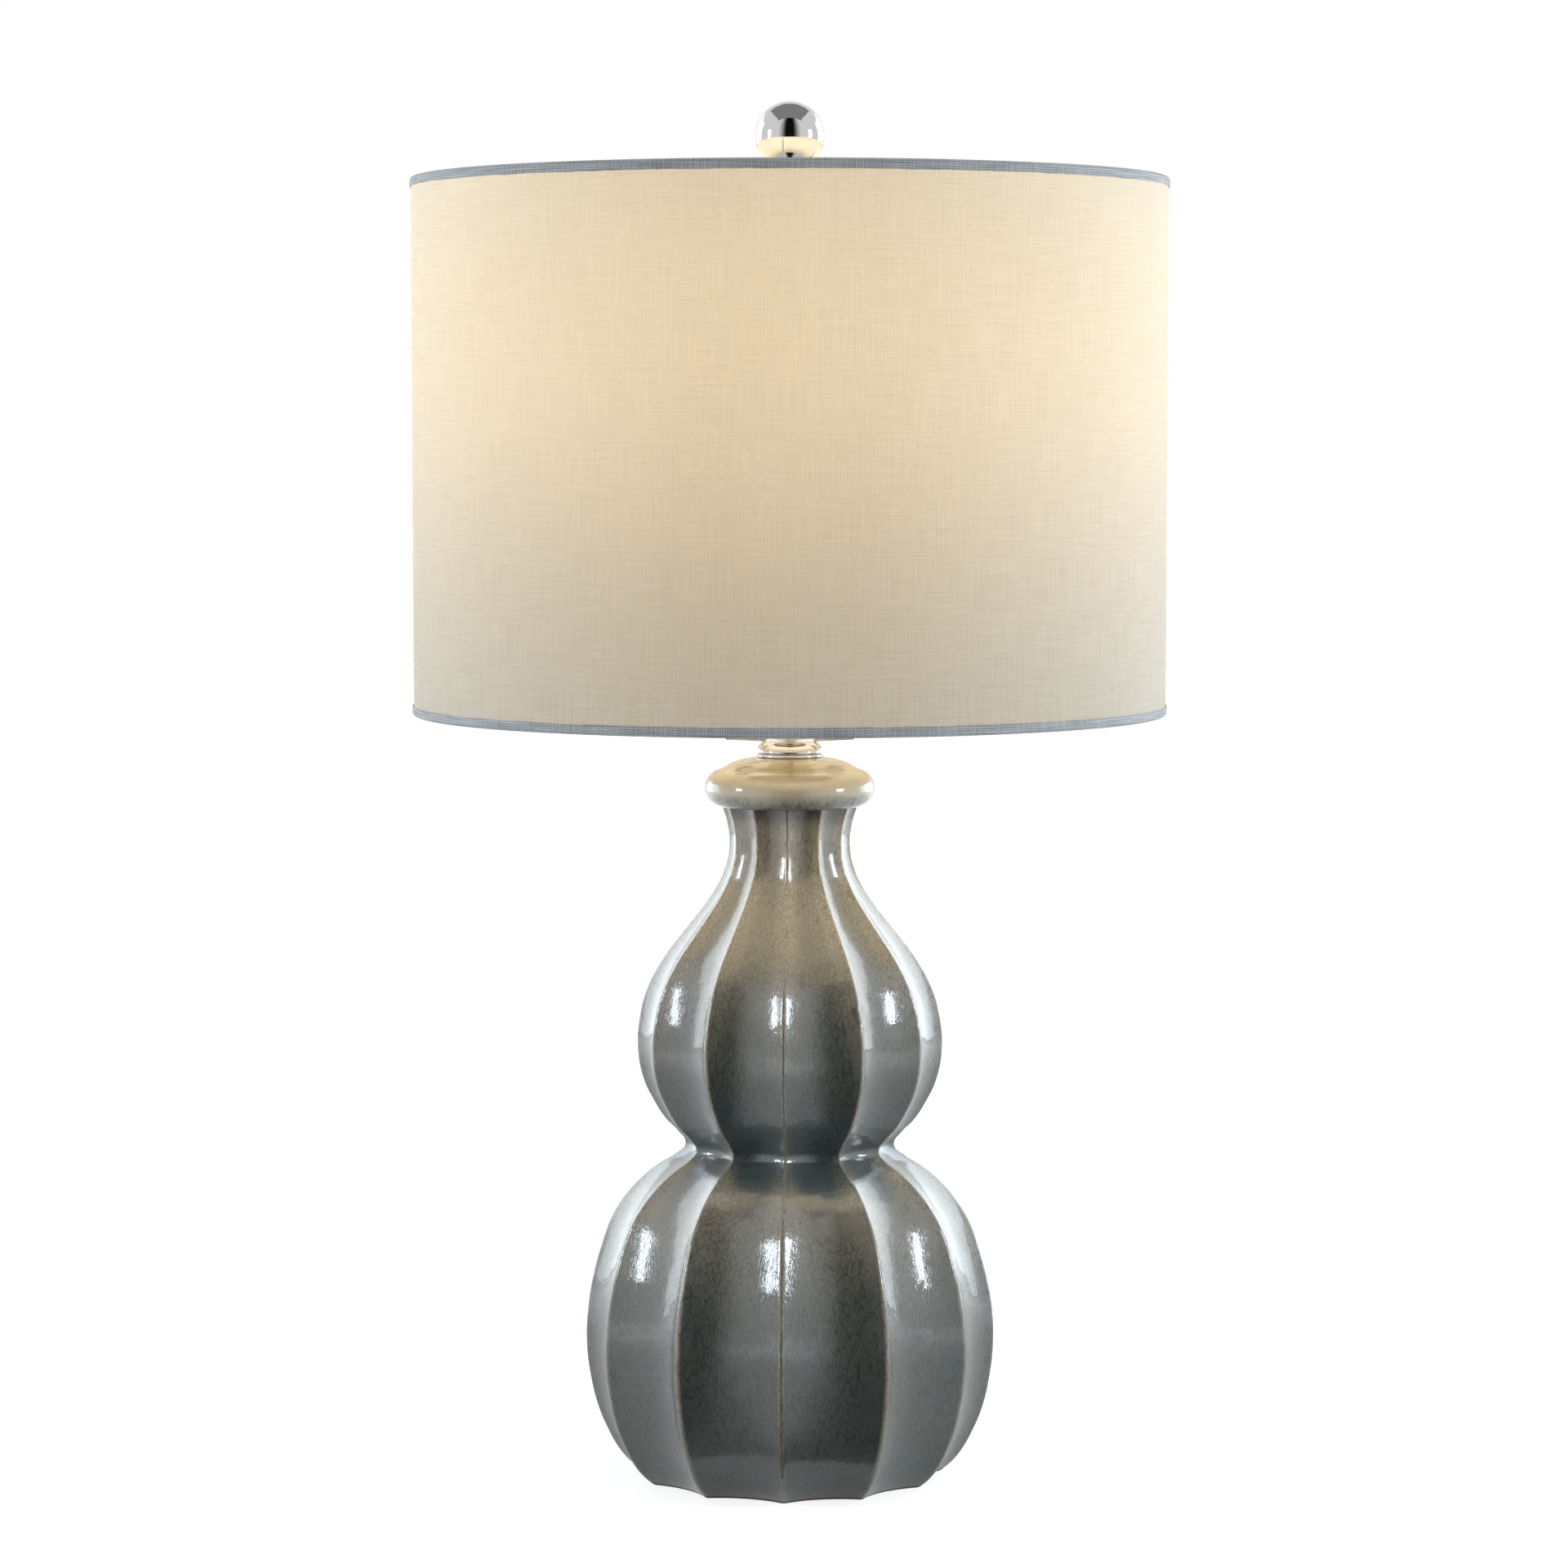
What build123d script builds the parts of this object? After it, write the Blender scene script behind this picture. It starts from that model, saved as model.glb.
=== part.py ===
from build123d import *
import os
from math import cos, radians, sin

# Double gourd table lamp. Millimetres, +Z up, origin at the centre of the foot.
# The front of the lamp faces -Y, and turns are counted about +Z from +X.

# Gap between faces of pieces that move against each other
BODY_GAP = 0.3

# Fluted ceramic body: ridge radii and heights at the rings that set its outline
RIDGE_COUNT = 12
FRONT_RIDGE_ANGLE = -92.4
FOOT_RADIUS = 79.0
LOWER_BELLY_RADIUS = 104.2
LOWER_BELLY_HEIGHT = 66.0
WAIST_RADIUS = 53.3
WAIST_HEIGHT = 168.8
UPPER_BELLY_RADIUS = 77.7
UPPER_BELLY_HEIGHT = 219.0
NECK_RADIUS = 30.7
NECK_HEIGHT = 323.0
NECK_FLARE_RADIUS = 35.3
BODY_WALL = 6.5

# Valley radius of a flute over its ridge radius
FLUTE_FOOT_RATIO = 0.913
FLUTE_BELLY_RATIO = 0.89
FLUTE_NECK_RATIO = 0.915

# How each stretch between two of those rings swells: share of the height, share of the radius
FOOT_SWELL = [(0.18, 0.39), (0.48, 0.77)]
LOWER_SHOULDER = [(0.331, 0.065), (0.622, 0.25), (0.837, 0.58), (0.948, 0.908)]
UPPER_SWELL = [(0.114, 0.143), (0.422, 0.652)]
UPPER_SHOULDER = [(0.278, 0.104), (0.581, 0.54), (0.775, 0.855)]

# Round collar on the neck, with the low dome that carries the metalwork
COLLAR_RADIUS = 43.3
COLLAR_BEAD = 9.5
COLLAR_HEIGHT = 351.0
COLLAR_SINK = 2.5
DOME_RISE = 6.0
DOME_BEND = 34.0
DOME_ANGLE = 33.0
DOME_SLOPE_RATIO = 0.05
NECK_HOLE = 8.0

# Underside: a recess for the stem's nut, closed by a felt disc in a rebate
RECESS_RADIUS = 64.0
RECESS_DEPTH = 16.0
FLOOR_THICKNESS = 8.0
FELT_RADIUS = 67.0
FELT_THICKNESS = 1.8
FELT_LIFT = 0.7

# Cord bushing in a flute at the back, near the foot, counted round from the front ridge
CORD_FLUTE_COUNT = 6.5
BUSHING_RADIUS = 5.5
BUSHING_BORE = 3.4
BUSHING_HEIGHT = 9.0
BUSHING_PROUD = 1.5

# Threaded stem and what is stacked on it
STEM_RADIUS = 4.95
STEM_BORE = 3.3
STEM_HOLE_GAP = 0.35
STEM_END_BELOW_NUT = 2.5
STEM_IN_SOCKET = 9.0
FLOOR_WASHER_RADIUS = 22.0
WASHER_THICKNESS = 1.6
LOCK_WASHER_RADIUS = 8.6
LOCK_WASHER_SLIT = 1.2
NUT_FLATS = 15.9
NUT_HEIGHT = 4.0
NECK_DISC_RADIUS = 16.9
NECK_DISC_THICKNESS = 1.6
NECK_CAP_RADIUS = 16.4
NECK_CAP_TOP_RADIUS = 13.4
NECK_CAP_HEIGHT = 6.4
NECK_CAP_WALL = 1.0
LOCKNUT_FLATS = 14.3
LOCKNUT_HEIGHT = 3.0

# Harp and its saddle
SADDLE_WIDTH = 12.7
SADDLE_THICKNESS = 1.6
SADDLE_TAB_WIDTH = 5.0
SADDLE_TAB_HEIGHT = 18.0
HARP_WIRE_RADIUS = 1.6
HARP_FOOT_SPAN = 29.3
HARP_LEG_STRAIGHT = 38.0
HARP_HALF_WIDTH = 57.0
HARP_HEIGHT = 266.0
HARP_BELLY = 78.0
HARP_SHOULDER = 186.0
HARP_TOP_HALF_WIDTH = 30.0
HARP_TOP_DROP = 1.2
WELD_SINK = 0.6
WIRE_SIDES = 10
HARP_WIRE_INSET = 6.0
HARP_BENDS = [18.0, 55.0, 110.0, 30.0]
FERRULE_HEIGHT = 14.0
FERRULE_WALL = 0.9
FERRULE_GAP = 0.15
TOP_PLATE_LENGTH = 24.0
TOP_PLATE_WIDTH = 12.7
TOP_PLATE_THICKNESS = 2.0

# Socket
SOCKET_HUB_RADIUS = 7.6
SOCKET_HUB_HEIGHT = 7.0
SOCKET_CAP_RADIUS = 17.2
SOCKET_CAP_HEIGHT = 25.0
SOCKET_CAP_BAND = 7.0
SOCKET_WALL = 0.8
SOCKET_SHELL_HEIGHT = 50.0
SOCKET_LINER_WALL = 0.8
SOCKET_LINER_PROUD = 1.0
SOCKET_BLOCK_HEIGHT = 21.0
SCREW_SHELL_RADIUS = 13.7
SCREW_SHELL_WALL = 0.4
CONTACT_LENGTH = 8.4
CONTACT_WIDTH = 6.0
CONTACT_THICKNESS = 1.2
CONTACT_GAP = 1.8
SET_SCREW_RADIUS = 1.6
SET_SCREW_LENGTH = 5.0

# Turn knob on the front of the socket
KNOB_SHAFT_RADIUS = 2.4
KNOB_SHAFT_GAP = 0.06
KNOB_RADIUS = 6.5
KNOB_LENGTH = 11.0
KNOB_STAND_OFF = 6.0
KNOB_ABOVE_BLOCK = 11.0
KNOB_GRIP_COUNT = 8
KNOB_GRIP_RADIUS = 1.1

# Bulb
BULB_CAP_GAP = 0.3
BULB_SEAT_GAP = 0.3
BULB_LENGTH = 108.0
BULB_TIP_RADIUS = 4.5
BULB_TIP_HEIGHT = 1.6
BULB_INSULATOR_HEIGHT = 3.2
BULB_NECK_RADIUS = 13.6
BULB_RADIUS = 30.0

# Swivelling stud on the harp
STUD_RADIUS = 3.17
STUD_GAP = 0.06
STUD_HEAD_RADIUS = 4.6
STUD_HEAD_HEIGHT = 1.4
STUD_FLANGE_RADIUS = 8.0
STUD_FLANGE_HEIGHT = 1.5
STUD_THREAD_LENGTH = 16.0

# Drum shade
SHADE_RADIUS = 190.5
SHADE_HEIGHT = 269.1
HEM_THICKNESS = 0.4
HEM_WIDTH = 5.0
FABRIC_THICKNESS = 0.5
LINER_THICKNESS = 0.4
RING_WIRE = 2.4
RING_SIDES = 6
SPIDER_ARM_COUNT = 3
SPIDER_FIRST_ANGLE = -111.0
SPIDER_WIRE_RADIUS = 1.5
SPIDER_DROP_START = 34.0
SPIDER_DROP_END = 20.0
SPIDER_BEND = 8.0
HUB_RADIUS = 14.0
HUB_THICKNESS = 1.6
HUB_HOLE_GAP = 1.8
SPIDER_RECESS = 11.9

# Ball finial
FINIAL_BALL_RADIUS = 17.4
FINIAL_BALL_LIFT = 31.4
FINIAL_BORE_GAP = 0.06
FINIAL_INSERT_WALL = 1.8
FINIAL_NECK_RADIUS = 7.5
FINIAL_FLANGE_RADIUS = 9.5
FINIAL_FLANGE_HEIGHT = 3.0

# Places that follow from the sizes above
FLUTE_STEP = 360 / RIDGE_COUNT
CORD_ANGLE = FRONT_RIDGE_ANGLE + CORD_FLUTE_COUNT * FLUTE_STEP
BEAD_RING_RADIUS = COLLAR_RADIUS - COLLAR_BEAD
COLLAR_UNDERSIDE = COLLAR_HEIGHT - COLLAR_BEAD
CAVITY_FLOOR = RECESS_DEPTH + FLOOR_THICKNESS
NECK_SEAT = COLLAR_HEIGHT + COLLAR_BEAD + DOME_RISE
NECK_CAP_BASE = NECK_SEAT + NECK_DISC_THICKNESS
SADDLE_BASE = NECK_CAP_BASE + NECK_CAP_HEIGHT
SADDLE_TOP = SADDLE_BASE + SADDLE_THICKNESS
SOCKET_BASE = SADDLE_TOP + LOCKNUT_HEIGHT
BLOCK_BASE = SOCKET_BASE + SOCKET_CAP_HEIGHT - SOCKET_CAP_BAND
BLOCK_TOP = BLOCK_BASE + SOCKET_BLOCK_HEIGHT
SOCKET_SHELL_RADIUS = SOCKET_CAP_RADIUS - SOCKET_WALL
SOCKET_LINER_RADIUS = SOCKET_SHELL_RADIUS - SOCKET_WALL
SOCKET_INNER_RADIUS = SOCKET_LINER_RADIUS - SOCKET_LINER_WALL
KNOB_HEIGHT = BLOCK_BASE + KNOB_ABOVE_BLOCK
BULB_BASE = BLOCK_TOP + CONTACT_THICKNESS + BULB_SEAT_GAP
SOCKET_MOUTH = BLOCK_BASE + SOCKET_SHELL_HEIGHT + SOCKET_LINER_PROUD
BULB_CAP_TOP = SOCKET_MOUTH + BODY_GAP
BULB_CAP_RADIUS = SCREW_SHELL_RADIUS - SCREW_SHELL_WALL - BULB_CAP_GAP
HARP_TOP = SADDLE_TOP + HARP_HEIGHT
PLATE_BASE = HARP_TOP - HARP_TOP_DROP + HARP_WIRE_RADIUS - WELD_SINK
PLATE_TOP = PLATE_BASE + TOP_PLATE_THICKNESS
STUD_FLANGE_BASE = PLATE_TOP + BODY_GAP
HUB_BASE = STUD_FLANGE_BASE + STUD_FLANGE_HEIGHT
HUB_TOP = HUB_BASE + HUB_THICKNESS
STUD_TOP = HUB_BASE + STUD_THREAD_LENGTH
SHADE_TOP = HUB_BASE + SPIDER_RECESS
FABRIC_RADIUS = SHADE_RADIUS - HEM_THICKNESS
LINER_RADIUS = FABRIC_RADIUS - FABRIC_THICKNESS
RING_RADIUS = LINER_RADIUS - LINER_THICKNESS - RING_WIRE / 2
SHADE_BOTTOM = SHADE_TOP - SHADE_HEIGHT
FINIAL_BASE = HUB_TOP + BODY_GAP
FINIAL_BORE = STUD_RADIUS + FINIAL_BORE_GAP
FINIAL_INSERT_RADIUS = FINIAL_BORE + FINIAL_INSERT_WALL
BALL_HEIGHT = FINIAL_BASE + FINIAL_BALL_LIFT
INSERT_TOP = STUD_TOP + BODY_GAP


def tube(outer, inner, base, height):
    """Round tube or washer standing on a height."""
    ring = Circle(outer) - Circle(inner)
    return Pos(0, 0, base) * extrude(ring, height)


def disc(radius, base, height):
    """Solid round disc or bar standing on a height."""
    return Pos(0, 0, base) * extrude(Circle(radius), height)


def hexagon(flats, inner, base, height):
    """Hexagonal nut with a plain bore."""
    nut = RegularPolygon(flats / 2, 6, major_radius=False) - Circle(inner)
    return Pos(0, 0, base) * extrude(nut, height)


def turned(points):
    """Solid turned about Z from a closed outline of radius and height pairs."""
    outline = Plane.XZ * make_face(Polyline(*points, close=True))
    return revolve(outline, Axis.Z)


def key_stretch(low, high, swell):
    """Loft stations from one key ring up to just below the next."""
    stations = [low]
    for along, across in swell:
        shares = (along, across, along)
        stations.append(tuple(a + (b - a) * share for a, b, share in zip(low, high, shares)))
    return stations


def body_stations():
    """Height, ridge radius and flute ratio at each loft station, foot to neck."""
    foot = (0.0, FOOT_RADIUS, FLUTE_FOOT_RATIO)
    lower = (LOWER_BELLY_HEIGHT, LOWER_BELLY_RADIUS, FLUTE_BELLY_RATIO)
    waist = (WAIST_HEIGHT, WAIST_RADIUS, FLUTE_BELLY_RATIO)
    upper = (UPPER_BELLY_HEIGHT, UPPER_BELLY_RADIUS, FLUTE_BELLY_RATIO)
    neck = (NECK_HEIGHT, NECK_RADIUS, FLUTE_NECK_RATIO)
    flare = (COLLAR_UNDERSIDE + COLLAR_SINK, NECK_FLARE_RADIUS, FLUTE_NECK_RATIO)
    return (
        key_stretch(foot, lower, FOOT_SWELL)
        + key_stretch(lower, waist, LOWER_SHOULDER)
        + key_stretch(waist, upper, UPPER_SWELL)
        + key_stretch(upper, neck, UPPER_SHOULDER)
        + [neck, flare]
    )


def fluted_ring(height, ridge, ratio):
    """Closed ring of concave flute arcs that meet in the ridges."""
    def place(radius, turn):
        return Vector(radius * cos(radians(turn)), radius * sin(radians(turn)), height)

    arcs = []
    for k in range(RIDGE_COUNT):
        turn = FRONT_RIDGE_ANGLE + k * FLUTE_STEP
        ends = place(ridge, turn), place(ridge, turn + FLUTE_STEP)
        valley = place(ridge * ratio, turn + FLUTE_STEP / 2)
        arcs.append(Edge.make_three_point_arc(ends[0], valley, ends[1]))
    return Wire(arcs)


def collar():
    """Rounded bead round the neck and the low dome with its flat seat."""
    bead = Pos(BEAD_RING_RADIUS, COLLAR_HEIGHT) * Circle(COLLAR_BEAD)
    core = Pos(BEAD_RING_RADIUS / 2, COLLAR_HEIGHT) * Rectangle(BEAD_RING_RADIUS, 2 * COLLAR_BEAD)
    crown = JernArc((NECK_DISC_RADIUS, NECK_SEAT), (1, -DOME_SLOPE_RATIO), DOME_BEND, -DOME_ANGLE)
    rim, seat = crown @ 1, crown @ 0
    sides = Polyline(rim, (rim.X, COLLAR_HEIGHT), (0, COLLAR_HEIGHT), (0, NECK_SEAT), seat)
    dome = make_face(crown + sides)
    return revolve(Plane.XZ * (bead + core + dome), Axis.Z)


def body_cavity(stations):
    """Inside of the casting, one wall thickness behind the flute valleys."""
    walls = [(ridge * ratio - BODY_WALL, height) for height, ridge, ratio in stations[2::2]]
    rings = [wall for wall in walls if wall[1] > CAVITY_FLOOR]
    bottom = [(0, CAVITY_FLOOR), (rings[0][0], CAVITY_FLOOR)]
    top = [(rings[-1][0], COLLAR_HEIGHT), (0, COLLAR_HEIGHT)]
    return turned(bottom + rings + top)


def ceramic_body():
    """Twelve-ridged double gourd casting with its collar, cavity and recess."""
    stations = body_stations()
    gourd = Solid.make_loft([fluted_ring(*station) for station in stations])
    body = gourd + collar() - body_cavity(stations)
    body -= disc(NECK_HOLE, COLLAR_UNDERSIDE, NECK_SEAT - COLLAR_UNDERSIDE)
    body -= disc(RECESS_RADIUS, 0, RECESS_DEPTH)
    body -= disc(FELT_RADIUS, 0, FELT_LIFT + FELT_THICKNESS)
    body -= disc(STEM_RADIUS + STEM_HOLE_GAP, 0, CAVITY_FLOOR)
    return body - bushing_axis() * extrude(Circle(BUSHING_RADIUS), FOOT_RADIUS)


def bushing_axis():
    """Frame of the cord hole, pointing out of the recess at the back."""
    way = Vector(cos(radians(CORD_ANGLE)), sin(radians(CORD_ANGLE)), 0)
    start = way * (RECESS_RADIUS - BUSHING_PROUD) + Vector(0, 0, BUSHING_HEIGHT)
    return Plane(origin=start, z_dir=way)


def cord_bushing():
    """Plain bushing that lines the cord hole."""
    rise = LOWER_BELLY_RADIUS - FOOT_RADIUS
    share = FOOT_SWELL[0][1] * (BUSHING_HEIGHT / (FOOT_SWELL[0][0] * LOWER_BELLY_HEIGHT))
    outside = (FOOT_RADIUS + rise * share) * FLUTE_FOOT_RATIO
    length = outside - RECESS_RADIUS + 2 * BUSHING_PROUD
    ring = Circle(BUSHING_RADIUS) - Circle(BUSHING_BORE)
    return bushing_axis() * extrude(ring, length)


def felt_disc():
    """Felt pad over the recess, just off the table."""
    return disc(FELT_RADIUS, FELT_LIFT, FELT_THICKNESS)


def lock_washer(base):
    """Split spring washer."""
    ring = tube(LOCK_WASHER_RADIUS, STEM_RADIUS, base, WASHER_THICKNESS)
    slit = Rectangle(LOCK_WASHER_RADIUS, LOCK_WASHER_SLIT, align=(Align.MIN, Align.CENTER))
    return ring - Pos(0, 0, base) * extrude(slit, WASHER_THICKNESS)


def neck_cap():
    """Inverted dish over the neck disc, drawn from thin metal."""
    dish = disc(NECK_CAP_RADIUS, NECK_CAP_BASE, NECK_CAP_HEIGHT)
    dish = fillet(dish.edges().group_by(Axis.Z)[-1], NECK_CAP_RADIUS - NECK_CAP_TOP_RADIUS)
    inside = disc(NECK_CAP_TOP_RADIUS, NECK_CAP_BASE, NECK_CAP_HEIGHT - NECK_CAP_WALL)
    return dish - inside - disc(STEM_RADIUS, NECK_CAP_BASE, NECK_CAP_HEIGHT)


def saddle():
    """Strip across the stem with an upright tab behind each harp leg."""
    tab_inner = HARP_FOOT_SPAN + HARP_WIRE_RADIUS
    reach = tab_inner + SADDLE_THICKNESS
    strip = Pos(0, 0, SADDLE_BASE) * extrude(
        Rectangle(2 * reach, SADDLE_TAB_WIDTH) + Circle(SADDLE_WIDTH), SADDLE_THICKNESS
    )
    tab = Rectangle(SADDLE_THICKNESS, SADDLE_TAB_WIDTH)
    for side in (-1, 1):
        middle = side * (tab_inner + SADDLE_THICKNESS / 2)
        strip += Pos(middle, 0, SADDLE_BASE) * extrude(tab, SADDLE_TAB_HEIGHT)
    return strip - disc(STEM_RADIUS, SADDLE_BASE, SADDLE_THICKNESS)


def harp_half():
    """Right half of the harp: straight leg, belly, shoulder and a short top run."""
    corners = [
        (HARP_FOOT_SPAN, SADDLE_TOP),
        (HARP_FOOT_SPAN, SADDLE_TOP + HARP_LEG_STRAIGHT),
        (HARP_HALF_WIDTH, SADDLE_TOP + HARP_BELLY),
        (HARP_HALF_WIDTH, SADDLE_TOP + HARP_SHOULDER),
        (HARP_TOP_HALF_WIDTH, HARP_TOP - HARP_TOP_DROP),
        (HARP_WIRE_INSET, HARP_TOP - HARP_TOP_DROP),
    ]
    path = Plane.XZ * FilletPolyline(*corners, radius=HARP_BENDS)
    section = Pos(HARP_FOOT_SPAN, 0, SADDLE_TOP) * RegularPolygon(HARP_WIRE_RADIUS, WIRE_SIDES)
    return sweep(section, path=path)


def harp():
    """Bent wire loop, welded under a top plate that holds the stud."""
    right = harp_half()
    plate = Pos(0, 0, PLATE_BASE) * extrude(
        SlotOverall(TOP_PLATE_LENGTH, TOP_PLATE_WIDTH) - Circle(STUD_RADIUS + STUD_GAP), TOP_PLATE_THICKNESS
    )
    return right + mirror(right, Plane.YZ) + plate


def ferrule(side):
    """Sleeve that locks a harp leg to its saddle tab."""
    inner = 2 * HARP_WIRE_RADIUS + FERRULE_GAP
    sleeve = tube(inner + FERRULE_WALL, inner, SADDLE_TOP + BODY_GAP, FERRULE_HEIGHT)
    return Pos(side * (HARP_FOOT_SPAN + HARP_WIRE_RADIUS), 0, 0) * sleeve


def socket_cap():
    """Drawn metal cup with a threaded hub."""
    top = SOCKET_BASE + SOCKET_CAP_HEIGHT
    shoulder = top - SOCKET_CAP_BAND - SOCKET_WALL
    hub = SOCKET_BASE + SOCKET_HUB_HEIGHT
    outline = [
        (STEM_RADIUS, SOCKET_BASE),
        (SOCKET_HUB_RADIUS, SOCKET_BASE),
        (SOCKET_HUB_RADIUS, hub),
        (SOCKET_CAP_RADIUS, shoulder),
        (SOCKET_CAP_RADIUS, top),
        (SOCKET_SHELL_RADIUS, top),
        (SOCKET_SHELL_RADIUS, shoulder + SOCKET_WALL),
        (SOCKET_HUB_RADIUS, hub + 2 * SOCKET_WALL),
        (STEM_RADIUS, hub + 2 * SOCKET_WALL),
    ]
    return turned(outline) - set_screw_bar(0)


def set_screw_bar(start):
    """Round bar through the side of the socket's hub, from a distance off the axis."""
    place = Pos(start, 0, SOCKET_BASE + SOCKET_HUB_HEIGHT / 2)
    return place * extrude(Plane.YZ * Circle(SET_SCREW_RADIUS), STEM_RADIUS + SET_SCREW_LENGTH - start)


def knob_way(radius, start, length):
    """Round bar along the knob's axis, out of the front of the socket."""
    return Pos(0, -start, KNOB_HEIGHT) * extrude(Plane.XZ * Circle(radius), length)


def socket_shell():
    """Metal tube round the socket, with the knob's hole."""
    shell = tube(SOCKET_SHELL_RADIUS, SOCKET_LINER_RADIUS, BLOCK_BASE, SOCKET_SHELL_HEIGHT)
    return shell - knob_way(KNOB_SHAFT_RADIUS + BODY_GAP, 0, SOCKET_CAP_RADIUS)


def socket_liner():
    """Paper insulating sleeve, a little proud of the shell."""
    height = SOCKET_SHELL_HEIGHT + SOCKET_LINER_PROUD
    sleeve = tube(SOCKET_LINER_RADIUS, SOCKET_INNER_RADIUS, BLOCK_BASE, height)
    return sleeve - knob_way(KNOB_SHAFT_RADIUS + BODY_GAP, 0, SOCKET_CAP_RADIUS)


def socket_block():
    """Moulded switch block in the bottom of the socket."""
    block = disc(SOCKET_INNER_RADIUS, BLOCK_BASE, SOCKET_BLOCK_HEIGHT)
    return block - knob_way(KNOB_SHAFT_RADIUS + KNOB_SHAFT_GAP, SOCKET_INNER_RADIUS / 2, SOCKET_INNER_RADIUS)


def screw_shell():
    """Metal cup that takes the bulb's cap."""
    height = SOCKET_SHELL_HEIGHT - SOCKET_BLOCK_HEIGHT - SOCKET_WALL
    cup = disc(SCREW_SHELL_RADIUS, BLOCK_TOP, height)
    cup -= disc(SCREW_SHELL_RADIUS - SCREW_SHELL_WALL, BLOCK_TOP + SCREW_SHELL_WALL, height)
    return cup - disc(CONTACT_LENGTH / 2 + CONTACT_GAP, BLOCK_TOP, height)


def centre_contact():
    """Flat tongue on the block, under the bulb's tip."""
    tongue = SlotOverall(CONTACT_LENGTH, CONTACT_WIDTH)
    return Pos(0, 0, BLOCK_TOP) * extrude(tongue, CONTACT_THICKNESS)


def knob_shaft():
    """Round shaft from the switch block to the knob."""
    start = SOCKET_INNER_RADIUS / 2 + BODY_GAP
    return knob_way(KNOB_SHAFT_RADIUS, start, SOCKET_SHELL_RADIUS + KNOB_STAND_OFF - start)


def knob():
    """Turn knob with grip flutes round its side."""
    start = SOCKET_SHELL_RADIUS + KNOB_STAND_OFF
    grip = Circle(KNOB_RADIUS)
    for spot in PolarLocations(KNOB_RADIUS, KNOB_GRIP_COUNT):
        grip -= spot * Circle(KNOB_GRIP_RADIUS)
    return Pos(0, -start, KNOB_HEIGHT) * extrude(Plane.XZ * grip, KNOB_LENGTH)


def bulb_contact():
    """Tip contact of the bulb."""
    return disc(BULB_TIP_RADIUS, BULB_BASE, BULB_TIP_HEIGHT)


def bulb_cap():
    """Screw cap of the bulb, tapered to the insulator."""
    base = BULB_BASE + BULB_TIP_HEIGHT
    outline = [
        (0, base),
        (BULB_TIP_RADIUS, base),
        (BULB_CAP_RADIUS, base + BULB_INSULATOR_HEIGHT),
        (BULB_CAP_RADIUS, BULB_CAP_TOP),
        (0, BULB_CAP_TOP),
    ]
    return turned(outline)


def bulb_seam():
    """Height of the seam between the bulb's body and its dome."""
    return BULB_BASE + BULB_LENGTH - BULB_RADIUS


def bulb_body():
    """Opaque flared body that holds the driver."""
    seam = bulb_seam()
    outline = [(0, BULB_CAP_TOP), (BULB_NECK_RADIUS, BULB_CAP_TOP), (BULB_RADIUS, seam), (0, seam)]
    return turned(outline)


def bulb_dome():
    """Diffusing half ball on the bulb's body."""
    align = (Align.CENTER, Align.CENTER, Align.MIN)
    return Pos(0, 0, bulb_seam()) * Sphere(BULB_RADIUS, arc_size1=0, align=align)


def harp_stud():
    """Swivelling stud: head under the plate, flange for the spider and thread."""
    head_top = PLATE_BASE - BODY_GAP
    outline = [
        (0, head_top - STUD_HEAD_HEIGHT),
        (STUD_HEAD_RADIUS, head_top - STUD_HEAD_HEIGHT),
        (STUD_HEAD_RADIUS, head_top),
        (STUD_RADIUS, head_top),
        (STUD_RADIUS, STUD_FLANGE_BASE),
        (STUD_FLANGE_RADIUS, STUD_FLANGE_BASE),
        (STUD_FLANGE_RADIUS, HUB_BASE),
        (STUD_RADIUS, HUB_BASE),
        (STUD_RADIUS, STUD_TOP),
        (0, STUD_TOP),
    ]
    return turned(outline)


def shade_fabric():
    """Linen of the drum, between its folded rims."""
    return tube(FABRIC_RADIUS, LINER_RADIUS, SHADE_BOTTOM + HEM_THICKNESS, SHADE_HEIGHT - 2 * HEM_THICKNESS)


def shade_liner():
    """Stiff film that the linen is mounted on."""
    height = SHADE_HEIGHT - 2 * HEM_THICKNESS
    return tube(LINER_RADIUS, LINER_RADIUS - LINER_THICKNESS, SHADE_BOTTOM + HEM_THICKNESS, height)


def hem(edge, inward):
    """Trim folded over one rim; inward is +1 at the bottom rim and -1 at the top."""
    inner = LINER_RADIUS - LINER_THICKNESS
    outline = [
        (SHADE_RADIUS, edge),
        (SHADE_RADIUS, edge + inward * HEM_WIDTH),
        (FABRIC_RADIUS, edge + inward * HEM_WIDTH),
        (FABRIC_RADIUS, edge + inward * HEM_THICKNESS),
        (inner, edge + inward * HEM_THICKNESS),
        (inner, edge),
    ]
    return turned(outline)


def ring(edge, inward):
    """Wire hoop behind one hem."""
    height = edge + inward * (HEM_THICKNESS + RING_WIRE / 2)
    section = Plane.XZ * Pos(RING_RADIUS, height) * RegularPolygon(RING_WIRE / 2, RING_SIDES)
    return revolve(section, Axis.Z)


def spider_arm():
    """Wire from the hub up to the top hoop."""
    high = SHADE_TOP - HEM_THICKNESS - RING_WIRE / 2
    low = HUB_BASE + SPIDER_WIRE_RADIUS
    outer = RING_RADIUS - RING_WIRE / 2
    inner = HUB_RADIUS - SPIDER_WIRE_RADIUS
    corners = [(outer, high), (SPIDER_DROP_START, high), (SPIDER_DROP_END, low), (inner, low)]
    path = Plane.XZ * FilletPolyline(*corners, radius=SPIDER_BEND)
    start = Plane(origin=(outer, 0, high), z_dir=(-1, 0, 0))
    return sweep(start * RegularPolygon(SPIDER_WIRE_RADIUS, WIRE_SIDES), path=path)


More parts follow.
